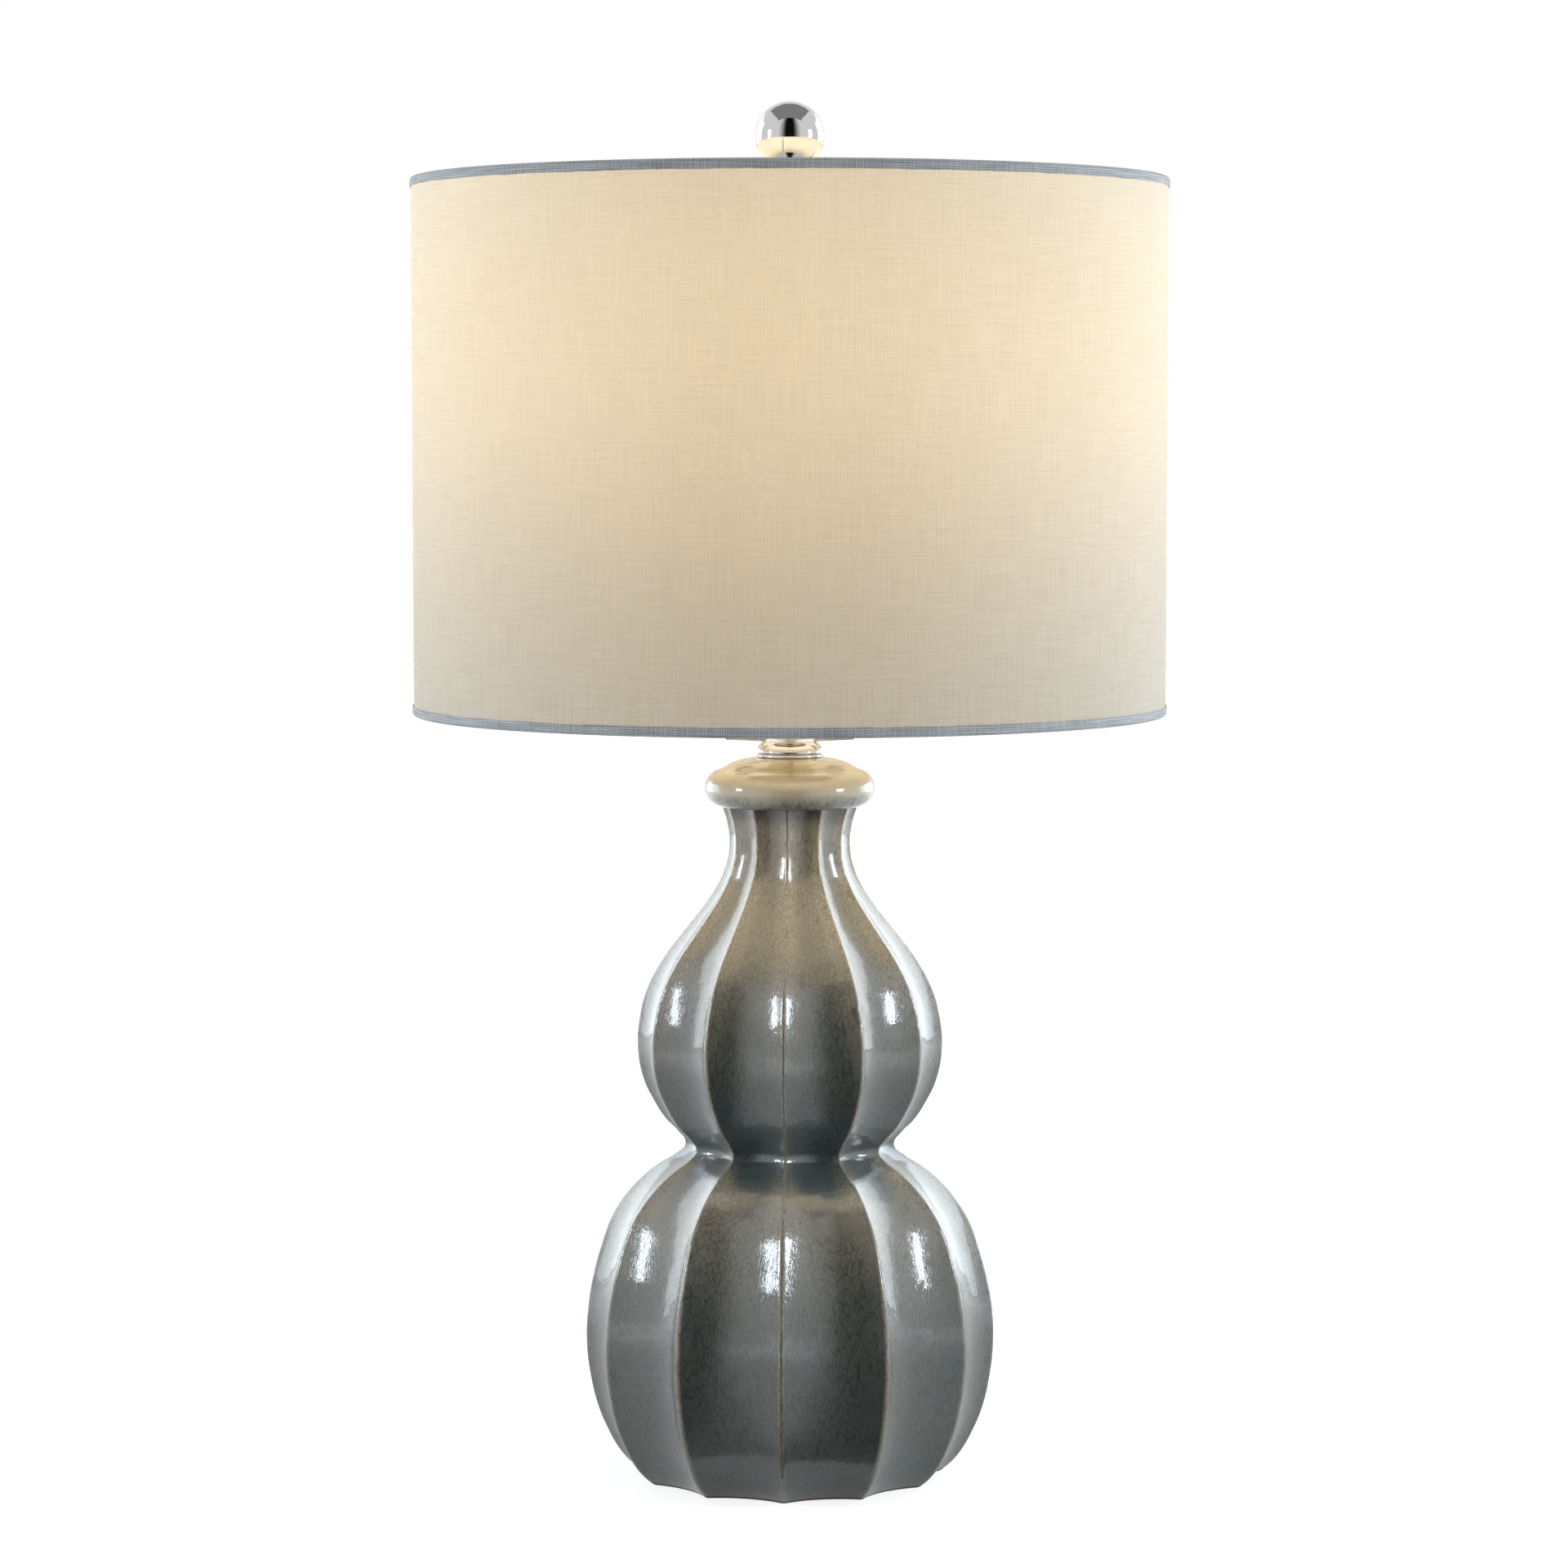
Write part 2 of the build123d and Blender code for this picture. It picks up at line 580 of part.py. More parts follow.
def spider():
    """Three arms welded to a washer that sits on the stud's flange."""
    fitter = tube(HUB_RADIUS, STUD_RADIUS + HUB_HOLE_GAP, HUB_BASE, HUB_THICKNESS)
    for k in range(SPIDER_ARM_COUNT):
        fitter += Rot(0, 0, SPIDER_FIRST_ANGLE + k * 360 / SPIDER_ARM_COUNT) * spider_arm()
    return fitter


def finial_insert():
    """Threaded bush that screws on to the stud."""
    return tube(FINIAL_INSERT_RADIUS, FINIAL_BORE, FINIAL_BASE, INSERT_TOP - FINIAL_BASE)


def finial_ball():
    """Ball on a short flanged neck, bored for the threaded insert."""
    hole = FINIAL_INSERT_RADIUS + FINIAL_BORE_GAP
    flange_top = FINIAL_BASE + FINIAL_FLANGE_HEIGHT
    neck = disc(FINIAL_NECK_RADIUS, FINIAL_BASE, BALL_HEIGHT - FINIAL_BASE)
    flange = disc(FINIAL_FLANGE_RADIUS, FINIAL_BASE, flange_top - FINIAL_BASE)
    ball = Pos(0, 0, BALL_HEIGHT) * Sphere(FINIAL_BALL_RADIUS)
    return ball + neck + flange - disc(hole, FINIAL_BASE, INSERT_TOP + BODY_GAP - FINIAL_BASE)


def main():
    """Build every piece and write one STEP file for each."""
    floor_washer_base = RECESS_DEPTH - WASHER_THICKNESS
    lock_base = floor_washer_base - WASHER_THICKNESS
    nut_base = lock_base - NUT_HEIGHT
    stem_base = nut_base - STEM_END_BELOW_NUT
    stem_top = SOCKET_BASE + STEM_IN_SOCKET - SOCKET_WALL
    nodes = {
        "ceramic_body": ceramic_body(),
        "felt_disc": felt_disc(),
        "cord_bushing": cord_bushing(),
        "stem": tube(STEM_RADIUS, STEM_BORE, stem_base, stem_top - stem_base),
        "floor_washer": tube(FLOOR_WASHER_RADIUS, STEM_RADIUS, floor_washer_base, WASHER_THICKNESS),
        "lock_washer": lock_washer(lock_base),
        "floor_nut": hexagon(NUT_FLATS, STEM_RADIUS, nut_base, NUT_HEIGHT),
        "neck_disc": tube(NECK_DISC_RADIUS, STEM_RADIUS, NECK_SEAT, NECK_DISC_THICKNESS),
        "neck_cap": neck_cap(),
        "harp_saddle": saddle(),
        "saddle_nut": hexagon(LOCKNUT_FLATS, STEM_RADIUS, SADDLE_TOP, LOCKNUT_HEIGHT),
        "harp": harp(),
        "ferrule_left": ferrule(-1),
        "ferrule_right": ferrule(1),
        "socket_cap": socket_cap(),
        "socket_set_screw": set_screw_bar(STEM_RADIUS),
        "socket_shell": socket_shell(),
        "socket_liner": socket_liner(),
        "socket_block": socket_block(),
        "screw_shell": screw_shell(),
        "centre_contact": centre_contact(),
        "knob_shaft": knob_shaft(),
        "knob": knob(),
        "bulb_contact": bulb_contact(),
        "bulb_cap": bulb_cap(),
        "bulb_body": bulb_body(),
        "bulb_dome": bulb_dome(),
        "harp_stud": harp_stud(),
        "shade_fabric": shade_fabric(),
        "shade_liner": shade_liner(),
        "hem_top": hem(SHADE_TOP, -1),
        "hem_bottom": hem(SHADE_BOTTOM, 1),
        "ring_top": ring(SHADE_TOP, -1),
        "ring_bottom": ring(SHADE_BOTTOM, 1),
        "spider": spider(),
        "finial_insert": finial_insert(),
        "finial_ball": finial_ball(),
    }
    os.makedirs("parts", exist_ok=True)
    for name, solid in nodes.items():
        solid.label = name
        export_step(solid, f"parts/{name}.step")


main()
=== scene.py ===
"""Looks of a double gourd table lamp: crackle-glazed ceramic, linen drum shade and polished metalwork.

Metres, +Z up, the lamp's front towards -Y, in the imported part's own frame.
"""

import logging
import math
from dataclasses import dataclass, field
from enum import Enum
from typing import Optional, Union

import bmesh
import bpy
from mathutils import Matrix, Vector, noise


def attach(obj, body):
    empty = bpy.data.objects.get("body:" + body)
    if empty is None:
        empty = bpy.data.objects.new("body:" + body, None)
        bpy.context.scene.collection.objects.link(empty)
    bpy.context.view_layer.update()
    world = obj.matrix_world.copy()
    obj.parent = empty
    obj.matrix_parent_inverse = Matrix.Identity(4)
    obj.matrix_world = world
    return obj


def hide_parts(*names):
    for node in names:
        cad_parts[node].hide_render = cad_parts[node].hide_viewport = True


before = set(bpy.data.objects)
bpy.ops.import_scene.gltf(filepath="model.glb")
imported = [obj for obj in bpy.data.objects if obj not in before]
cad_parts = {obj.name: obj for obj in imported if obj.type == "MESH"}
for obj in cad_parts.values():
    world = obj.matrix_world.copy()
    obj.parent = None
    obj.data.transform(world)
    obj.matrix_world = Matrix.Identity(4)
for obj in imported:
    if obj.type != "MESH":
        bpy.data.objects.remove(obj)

LOG = logging.getLogger("lamp")
MM = 0.001
MERGE = 1e-6
CREASE = math.radians(38)
Colour = tuple[float, float, float]
Feed = Union[bpy.types.NodeSocket, float, tuple]
Key = tuple[float, float, bool]
Span = tuple[float, float]
Band = tuple[float, float, float, float]


class Ease(Enum):
    """How a value passes from one end of its range to the other."""

    STRAIGHT = "LINEAR"
    SOFT = "SMOOTHSTEP"


class Shading(Enum):
    """How a piece's faces are shaded."""

    SMOOTH = "smooth"
    CREASED = "creased"


# ---------------------------------------------------------------- material graphs


class Graph:
    """Node graph of one material, with short calls for the nodes that the finishes share."""

    def __init__(self, name: str) -> None:
        """Start an empty graph.

        Args:
            name: Name of the new material.
        """
        self.material = bpy.data.materials.new(name)
        self.material.use_nodes = True
        self.tree = self.material.node_tree
        self.tree.nodes.clear()

    def add(self, kind: str, feeds: dict, **settings: object) -> bpy.types.Node:
        """Add one node.

        Args:
            kind: Blender's type name of the node, without ShaderNode.
            feeds: Values or sockets for its inputs, by input name or number.
            settings: Properties of the node.

        Returns:
            The new node.
        """
        node = self.tree.nodes.new("ShaderNode" + kind)
        for key, value in settings.items():
            setattr(node, key, value)
        for key, value in feeds.items():
            if isinstance(value, bpy.types.NodeSocket):
                self.tree.links.new(value, node.inputs[key])
            else:
                node.inputs[key].default_value = value
        return node

    def place(self) -> bpy.types.NodeSocket:
        """Object coordinates of the shaded point."""
        return self.add("TexCoord", {}).outputs["Object"]

    def math(self, operation: str, *values: Feed, clamp: bool = False) -> bpy.types.NodeSocket:
        """One step of arithmetic.

        Args:
            operation: Blender's name of the operation.
            values: One to three operands.
            clamp: Whether the result is held from 0 to 1.

        Returns:
            The result.
        """
        return self.add("Math", dict(enumerate(values)), operation=operation, use_clamp=clamp).outputs[0]

    def span(self, value: Feed, low: float, high: float, start: float = 0.0, end: float = 1.0,
             ease: Ease = Ease.SOFT) -> bpy.types.NodeSocket:
        """Carry a value from one range to another.

        Args:
            value: The value.
            low: Value at which the result is start.
            high: Value at which the result is end.
            start: First end of the result.
            end: Last end of the result.
            ease: Shape of the passage.

        Returns:
            The carried value.
        """
        feeds = {"Value": value, "From Min": low, "From Max": high, "To Min": start, "To Max": end}
        return self.add("MapRange", feeds, interpolation_type=ease.value).outputs["Result"]

    def band(self, value: Feed, low: float, peak_low: float, peak_high: float,
             high: float) -> bpy.types.NodeSocket:
        """Soft band that is 1 between its peaks and 0 outside its limits.

        Args:
            value: The value that runs through the band.
            low: Lower limit.
            peak_low: Start of the full band.
            peak_high: End of the full band.
            high: Upper limit.

        Returns:
            Strength of the band.
        """
        rise, fall = self.span(value, low, peak_low), self.span(value, peak_high, high, 1.0, 0.0)
        return self.math("MULTIPLY", rise, fall)

    def mix(self, share: Feed, first: Feed, second: Feed, blend: str = "MIX") -> bpy.types.NodeSocket:
        """Mix two colours.

        Args:
            share: Share of the second colour.
            first: First colour.
            second: Second colour.
            blend: Blender's name of the way they mix.

        Returns:
            The mixed colour.
        """
        colours = [c if isinstance(c, bpy.types.NodeSocket) else (*c, 1.0) for c in (first, second)]
        node = self.add("Mix", {0: share, 6: colours[0], 7: colours[1]}, data_type="RGBA", blend_type=blend)
        return node.outputs[2]

    def scaled(self, vector: Feed, scale: tuple[float, float, float]) -> bpy.types.NodeSocket:
        """Coordinates stretched along their axes."""
        return self.add("Mapping", {"Vector": vector, "Scale": scale}).outputs[0]

    def noise(self, vector: Feed, scale: float, detail: float = 2.0, roughness: float = 0.5,
              output: str = "Fac") -> bpy.types.NodeSocket:
        """Soft noise.

        Args:
            vector: Coordinates.
            scale: Waves per unit.
            detail: Number of finer layers.
            roughness: Strength of the finer layers.
            output: Fac for a value or Color for three of them.

        Returns:
            The noise.
        """
        feeds = {"Vector": vector, "Scale": scale, "Detail": detail, "Roughness": roughness}
        return self.add("TexNoise", feeds).outputs[output]

    def wander(self, vector: Feed, scale: float, amount: float) -> bpy.types.NodeSocket:
        """Coordinates pushed about by noise.

        Args:
            vector: Coordinates.
            scale: Waves per unit of the noise.
            amount: Largest push.

        Returns:
            The pushed coordinates.
        """
        shift = self.add("VectorMath", {0: self.noise(vector, scale, output="Color"), 1: (0.5, 0.5, 0.5)},
                         operation="SUBTRACT").outputs[0]
        shift = self.add("VectorMath", {0: shift, "Scale": amount}, operation="SCALE").outputs[0]
        return self.add("VectorMath", {0: vector, 1: shift}, operation="ADD").outputs[0]

    def crack(self, vector: Feed, scale: float, width: float) -> bpy.types.NodeSocket:
        """Net of thin lines between random cells.

        Args:
            vector: Coordinates.
            scale: Cells per unit.
            width: Width of a line as a share of a cell.

        Returns:
            1 on a line and 0 inside a cell.
        """
        cells = self.add("TexVoronoi", {"Vector": vector, "Scale": scale}, feature="DISTANCE_TO_EDGE")
        return self.span(cells.outputs["Distance"], 0.0, width, 1.0, 0.0)

    def bump(self, height: Feed, depth: float, strength: float = 1.0, below: Optional[Feed] = None) -> Feed:
        """Surface relief.

        Args:
            height: Height from 0 to 1.
            depth: Depth in metres of a height of 1.
            strength: Share of the relief that shows.
            below: Normal that this relief lies on.

        Returns:
            The new normal.
        """
        feeds = {"Height": height, "Distance": depth, "Strength": strength}
        if below is not None:
            feeds["Normal"] = below
        return self.add("Bump", feeds).outputs["Normal"]

    def body(self, feeds: dict) -> bpy.types.NodeSocket:
        """Principled surface with these inputs."""
        return self.add("BsdfPrincipled", feeds).outputs[0]

    def finish(self, surface: bpy.types.NodeSocket) -> bpy.types.Material:
        """Connect the surface and hand over the material."""
        self.add("OutputMaterial", {"Surface": surface})
        return self.material


# ---------------------------------------------------------------- finishes


@dataclass(frozen=True)
class CrackleGlaze:
    """Celadon glaze with a crackle, thin and tan on the ridges and blue where it pools, with painted shade in
    a band under the bead.
    """

    ridges: int
    front_turn: float
    celadon: Colour = (0.115, 0.121, 0.100)
    pooled: Colour = (0.090, 0.116, 0.116)
    thin: Colour = (0.42, 0.355, 0.26)
    cream: Colour = (0.40, 0.35, 0.24)
    pale: Colour = (0.50, 0.46, 0.37)
    # Colour of the painted shade in the band under the bead.
    shadow: Colour = (0.035, 0.033, 0.024)
    line: Colour = (0.020, 0.026, 0.025)
    line_share: float = 0.65
    waist_pool: Band = (0.135, 0.160, 0.182, 0.215)
    foot_pool: Span = (0.12, 0.03)
    patch_fade: Span = (0.30, 0.22)
    tan_shoulder: Band = (0.085, 0.138, 0.140, 0.160)
    tan_neck: Span = (0.215, 0.325)
    tan_share: Span = (0.42, 0.85)
    ridge_line: Span = (0.987, 0.998)
    bead_start: Span = (0.3412, 0.3440)
    bead_round: Span = (0.3425, 0.3510)
    dome_start: Span = (0.349, 0.360)
    painted_shade_under_bead: Band = (0.332, 0.3405, 0.3425, 0.3445)
    crack_squash: float = 0.21

    def crest(self, graph: Graph, place: Feed) -> bpy.types.NodeSocket:
        """Closeness to a ridge, from 0 in the middle of a flute to 1 on the ridge."""
        parts = graph.add("SeparateXYZ", {0: place}).outputs
        turn = graph.math("ARCTAN2", parts[1], parts[0])
        off_front = graph.math("SUBTRACT", turn, math.radians(self.front_turn))
        wave = graph.math("MULTIPLY", off_front, self.ridges)
        return graph.math("MULTIPLY_ADD", graph.math("COSINE", wave), 0.5, 0.5)

    def colour(self, graph: Graph, place: Feed, lines: Feed) -> bpy.types.NodeSocket:
        """Colour of the glaze.

        Args:
            graph: Graph that the nodes go into.
            place: Object coordinates.
            lines: Strength of the crackle lines.

        Returns:
            The colour.
        """
        height = graph.add("SeparateXYZ", {0: place}).outputs[2]
        crest = self.crest(graph, place)
        cloud = graph.noise(place, 22.0, 4.0, 0.55)
        wavy = graph.math("MULTIPLY_ADD", graph.math("SUBTRACT", cloud, 0.5), 0.05, height)
        pool = graph.band(wavy, *self.waist_pool)
        low = graph.math("MULTIPLY", graph.span(wavy, *self.foot_pool), 0.45)
        patches = graph.math("MULTIPLY", graph.span(cloud, 0.45, 0.75), graph.span(wavy, *self.patch_fade))
        cool = graph.math("MAXIMUM", pool, graph.math("MAXIMUM", low, patches), clamp=True)
        colour = graph.mix(cool, self.celadon, self.pooled)
        inward = graph.math("MULTIPLY_ADD", crest, -0.014, wavy)
        shoulder = graph.math("MULTIPLY", graph.band(inward, *self.tan_shoulder), 0.85)
        upper = graph.span(graph.math("MULTIPLY_ADD", crest, 0.02, wavy), *self.tan_neck)
        tan = graph.math("MAXIMUM", shoulder, upper)
        warm = graph.math("MULTIPLY", tan, graph.span(crest, 0.15, 0.95, *self.tan_share))
        edge = graph.math("MULTIPLY", graph.span(crest, *self.ridge_line), 0.65)
        colour = graph.mix(graph.math("MAXIMUM", warm, edge), colour, self.thin)
        bead = graph.span(height, *self.bead_start)
        uneven = graph.math("MULTIPLY_ADD", graph.math("SUBTRACT", cloud, 0.5), 0.012, height)
        dome = graph.span(uneven, *self.dome_start)
        streaks = graph.noise(graph.scaled(place, (1.0, 1.0, 0.2)), 260.0, 2.0)
        rim = graph.mix(graph.span(streaks, 0.45, 0.7), tuple(c * 0.75 for c in self.pale), self.pooled)
        rim = graph.mix(graph.span(height, *self.bead_round), rim, self.pale)
        # Painted shade: the glaze is darkened in a band just under the bead, where the bead shades the neck.
        shade = graph.math("MULTIPLY", graph.band(height, *self.painted_shade_under_bead), 0.65)
        colour = graph.mix(shade, colour, self.shadow)
        colour = graph.mix(bead, colour, graph.mix(dome, rim, self.cream))
        return graph.mix(graph.math("MULTIPLY", lines, self.line_share), colour, self.line)

    def make(self) -> bpy.types.Material:
        """Build the material."""
        graph = Graph("crackle_glaze")
        place = graph.place()
        drawn = graph.scaled(place, (1.0, 1.0, self.crack_squash))
        wide = graph.crack(graph.wander(drawn, 150.0, 0.0036), 440.0, 0.085)
        fine = graph.crack(graph.wander(drawn, 240.0, 0.0030), 760.0, 0.120)
        patch = graph.span(graph.noise(place, 34.0, 3.0), 0.28, 0.46, 0.25, 1.0)
        height = graph.add("SeparateXYZ", {0: place}).outputs[2]
        crazed = graph.math("MULTIPLY", patch, graph.span(height, 0.352, 0.344, 0.12, 1.0))
        lines = graph.math("MULTIPLY", graph.math("MAXIMUM", wide, graph.math("MULTIPLY", fine, 0.7)), crazed)
        ripple = graph.noise(place, 48.0, 2.0)
        swell = graph.bump(ripple, 0.0006)
        relief = graph.bump(lines, 0.00005, below=swell)
        skin = graph.bump(lines, 0.000013, below=swell)
        colour = self.colour(graph, place, lines)
        surface = graph.body({
            "Base Color": colour,
            "Roughness": graph.span(graph.noise(place, 90.0), 0.3, 0.7, 0.30, 0.38),
            "Specular IOR Level": 0.4,
            "Normal": relief,
            "Coat Weight": 1.0,
            "Coat Roughness": 0.03,
            "Coat IOR": 1.7,
            "Coat Normal": skin,
        })
        return graph.finish(surface)


@dataclass(frozen=True)
class Bisque:
    """Bare fired clay under the foot."""

    clay: Colour = (0.30, 0.235, 0.165)

    def make(self) -> bpy.types.Material:
        """Build the material."""
        graph = Graph("bisque")
        place = graph.place()
        speck = graph.noise(place, 900.0, 3.0, 0.7)
        colour = graph.mix(graph.span(speck, 0.55, 0.75), self.clay, tuple(c * 0.55 for c in self.clay))
        cloud = graph.span(graph.noise(place, 40.0), 0.4, 0.7)
        colour = graph.mix(cloud, colour, tuple(c * 1.25 for c in self.clay))
        return graph.finish(graph.body({
            "Base Color": colour, "Roughness": 0.86, "Normal": graph.bump(speck, 0.00012),
        }))


@dataclass(frozen=True)
class Linen:
    """Plain-woven slubby linen, read from the piece's own cloth map in metres.

    A strip whose length is given passes more light at its two lapped ends, which lie over each other.
    """

    name: str
    thread: float = 1.1 * MM
    flax: Colour = (0.86, 0.86, 0.85)
    gap: Colour = (0.56, 0.54, 0.50)
    glow: Colour = (0.88, 0.78, 0.56)
    through: float = 0.22
    lap_through: float = 0.40
    length: float = 0.0
    lap: float = 0.0

    def weave(self, graph: Graph) -> tuple[bpy.types.NodeSocket, bpy.types.NodeSocket]:
        """Weave of the cloth.

        Args:
            graph: Graph that the nodes go into.

        Returns:
            Height of the threads and how dense the cloth is, both from 0 to 1.
        """
        cloth = graph.add("UVMap", {}, uv_map="cloth").outputs[0]
        cloth = graph.wander(cloth, 60.0, 0.0006)
        parts = graph.add("SeparateXYZ", {0: cloth}).outputs
        waves = [graph.math("SINE", graph.math("MULTIPLY", parts[k], math.pi / self.thread)) for k in (0, 1)]
        round_threads = [graph.math("ABSOLUTE", wave) for wave in waves]
        over = graph.math("GREATER_THAN", graph.math("MULTIPLY", *waves), 0.0)
        lift = graph.math("MULTIPLY_ADD", over, 0.5, 0.5)
        warp = graph.math("MULTIPLY", round_threads[0], lift)
        weft = graph.math("MULTIPLY", round_threads[1], graph.math("SUBTRACT", 1.5, lift))
        long, short = 1 / (26 * self.thread), 1.0 / self.thread
        slubs = [graph.noise(graph.scaled(cloth, scale), 1.0, 1.0)
                 for scale in ((short, long, 1), (long, short, 1))]
        slub = graph.math("ADD", *[graph.span(s, 0.30, 0.72, -0.5, 0.5, Ease.STRAIGHT) for s in slubs])
        height = graph.math("MAXIMUM", warp, weft)
        dense = graph.math("MULTIPLY_ADD", slub, 0.38, height, clamp=True)
        return height, dense

    def make(self) -> bpy.types.Material:
        """Build the material."""
        graph = Graph(self.name)
        height, dense = self.weave(graph)
        cloud = graph.noise(graph.place(), 14.0, 3.0)
        colour = graph.mix(dense, self.gap, self.flax)
        colour = graph.mix(graph.math("MULTIPLY", cloud, 0.12), colour, self.gap)
        normal = graph.bump(dense, 0.00016, 0.8)
        face = graph.body({
            "Base Color": colour, "Roughness": 0.9, "Normal": normal, "Specular IOR Level": 0.2,
            "Sheen Weight": 0.15, "Sheen Roughness": 0.5,
        })
        if not self.through:
            return graph.finish(face)
        lit = graph.mix(dense, self.glow, tuple(c * 0.78 for c in self.glow))
        light = graph.add("BsdfTranslucent", {"Color": lit}).outputs[0]
        along = graph.add("SeparateXYZ", {0: graph.add("UVMap", {}, uv_map="cloth").outputs[0]}).outputs[0]
        from_middle = graph.math("ABSOLUTE", graph.math("SUBTRACT", along, self.length / 2))
        doubled = graph.math("GREATER_THAN", from_middle, self.length / 2 - self.lap)
        share = graph.math("MULTIPLY_ADD", doubled, self.lap_through - self.through, self.through)
        both = graph.add("MixShader", {0: share, 1: face, 2: light}).outputs[0]
        return graph.finish(both)


@dataclass(frozen=True)
class Film:
    """Stiff white film inside the shade, which lets the bulb's light reach the linen."""

    white: Colour = (0.86, 0.85, 0.83)
    through: float = 0.4

    def make(self) -> bpy.types.Material:
        """Build the material."""
        graph = Graph("shade_film")
        place = graph.place()
        streak = graph.noise(graph.scaled(place, (1.0, 1.0, 0.15)), 120.0, 2.0)
        colour = graph.mix(graph.span(streak, 0.4, 0.7), self.white, tuple(c * 0.93 for c in self.white))
        face = graph.body({"Base Color": colour, "Roughness": 0.45, "Normal": graph.bump(streak, 0.00008)})
        light = graph.add("BsdfTranslucent", {"Color": (*self.white, 1.0)}).outputs[0]
        both = graph.add("MixShader", {0: self.through, 1: face, 2: light}).outputs[0]
        clear = graph.add("BsdfTransparent", {}).outputs[0]
        shadow = graph.add("LightPath", {}).outputs["Is Shadow Ray"]
        return graph.finish(graph.add("MixShader", {0: shadow, 1: both, 2: clear}).outputs[0])


@dataclass(frozen=True)
class Metal:
    """Worked metal with brushing or polishing marks and a little tarnish."""

    name: str
    tone: Colour
    dull: Colour
    roughness: float
    grain: tuple[float, float, float] = (1.0, 1.0, 1.0)
    marks: float = 0.00001
    tarnish: float = 0.2

    def make(self) -> bpy.types.Material:
        """Build the material."""
        graph = Graph(self.name)
        place = graph.place()
        scratch = graph.noise(graph.scaled(place, self.grain), 1500.0, 2.0, 0.6)
        cloud = graph.noise(place, 160.0, 3.0)
        stain = graph.math("MULTIPLY", graph.span(cloud, 0.45, 0.75), self.tarnish)
        worn = graph.span(scratch, 0.3, 0.7, self.roughness * 0.75, self.roughness * 1.25)
        rough = graph.math("MULTIPLY_ADD", stain, 0.35, worn)
        return graph.finish(graph.body({
            "Base Color": graph.mix(stain, self.tone, self.dull), "Metallic": 1.0, "Roughness": rough,
            "Normal": graph.bump(scratch, self.marks),
        }))


@dataclass(frozen=True)
class Moulding:
    """Moulded or pressed non-metal: plastic, phenolic, paperboard or diffusing plastic."""

    name: str
    tone: Colour
    fleck: Colour
    roughness: float
    scale: float = 600.0
    relief: float = 0.00002
    lit: float = 0.0
    warmth: Colour = (1.0, 0.83, 0.58)

    def make(self) -> bpy.types.Material:
        """Build the material."""
        graph = Graph(self.name)
        place = graph.place()
        grain = graph.noise(place, self.scale, 3.0, 0.6)
        feeds = {
            "Base Color": graph.mix(graph.span(grain, 0.45, 0.75), self.tone, self.fleck),
            "Roughness": graph.span(grain, 0.3, 0.7, self.roughness * 0.85, self.roughness * 1.15),
            "Normal": graph.bump(grain, self.relief),
        }
        if self.lit:
            feeds |= {"Emission Color": (*self.warmth, 1.0), "Emission Strength": self.lit}
        return graph.finish(graph.body(feeds))


@dataclass(frozen=True)
class Felt:
    """Matted wool felt with loose fibres."""

    wool: Colour = (0.055, 0.075, 0.055)

    def make(self) -> bpy.types.Material:
        """Build the material."""
        graph = Graph("wool_felt")
        place = graph.place()
        fibre = graph.noise(graph.wander(place, 400.0, 0.002), 1600.0, 4.0, 0.7)
        lint = graph.noise(graph.scaled(place, (1.0, 0.2, 1.0)), 2200.0, 2.0)
        colour = graph.mix(graph.span(fibre, 0.4, 0.7), self.wool, tuple(c * 2.0 for c in self.wool))
        colour = graph.mix(graph.span(lint, 0.68, 0.78), colour, (0.35, 0.36, 0.33))
        return graph.finish(graph.body({
            "Base Color": colour, "Roughness": 0.95, "Normal": graph.bump(fibre, 0.0004), "Sheen Weight": 0.4,
            "Sheen Roughness": 0.6,
        }))


# ---------------------------------------------------------------- shared shaping


def turned(keys: list[Key], steps: int, fineness: int, closed: bool = True) -> bmesh.types.BMesh:
    """Turn an outline about Z.

    Args:
        keys: Radius and height of each point of the outline, and whether it runs smoothly there.
        steps: Steps round the axis.
        fineness: Points that each stretch of the outline is divided into.
        closed: Whether the outline comes back to its start.

    Returns:
        The turned shape, its faces pointing outwards where it is closed.
    """
    curve = bpy.data.curves.new("outline", "CURVE")
    curve.dimensions, curve.resolution_u = "3D", fineness
    spline = curve.splines.new("BEZIER")
    spline.bezier_points.add(len(keys) - 1)
    spline.use_cyclic_u = closed
    for point, (radius, height, smooth) in zip(spline.bezier_points, keys):
        point.co = (radius, 0.0, height)
        point.handle_left_type = point.handle_right_type = "AUTO" if smooth else "VECTOR"
    holder = bpy.data.objects.new("outline", curve)
    mesh = bpy.data.meshes.new_from_object(holder)
    bm = bmesh.new()
    bm.from_mesh(mesh)
    bpy.data.objects.remove(holder)
    bpy.data.curves.remove(curve)
    bpy.data.meshes.remove(mesh)
    bmesh.ops.remove_doubles(bm, verts=bm.verts, dist=MERGE)
    bmesh.ops.spin(bm, geom=bm.verts[:] + bm.edges[:], cent=(0, 0, 0), axis=(0, 0, 1), angle=math.tau,
                   steps=steps, use_merge=True)
    bmesh.ops.remove_doubles(bm, verts=bm.verts, dist=MERGE)
    bmesh.ops.recalc_face_normals(bm, faces=bm.faces)
    return bm


def meshed(name: str, bm: bmesh.types.BMesh) -> bpy.types.Mesh:
    """Mesh of a shape, which is freed."""
    mesh = bpy.data.meshes.new(name)
    bm.to_mesh(mesh)
    bm.free()
    return mesh


def placed(name: str, data: bpy.types.ID) -> bpy.types.Object:
    """Object of some data, linked to the scene."""
    made = bpy.data.objects.new(name, data)
    bpy.context.scene.collection.objects.link(made)
    return made


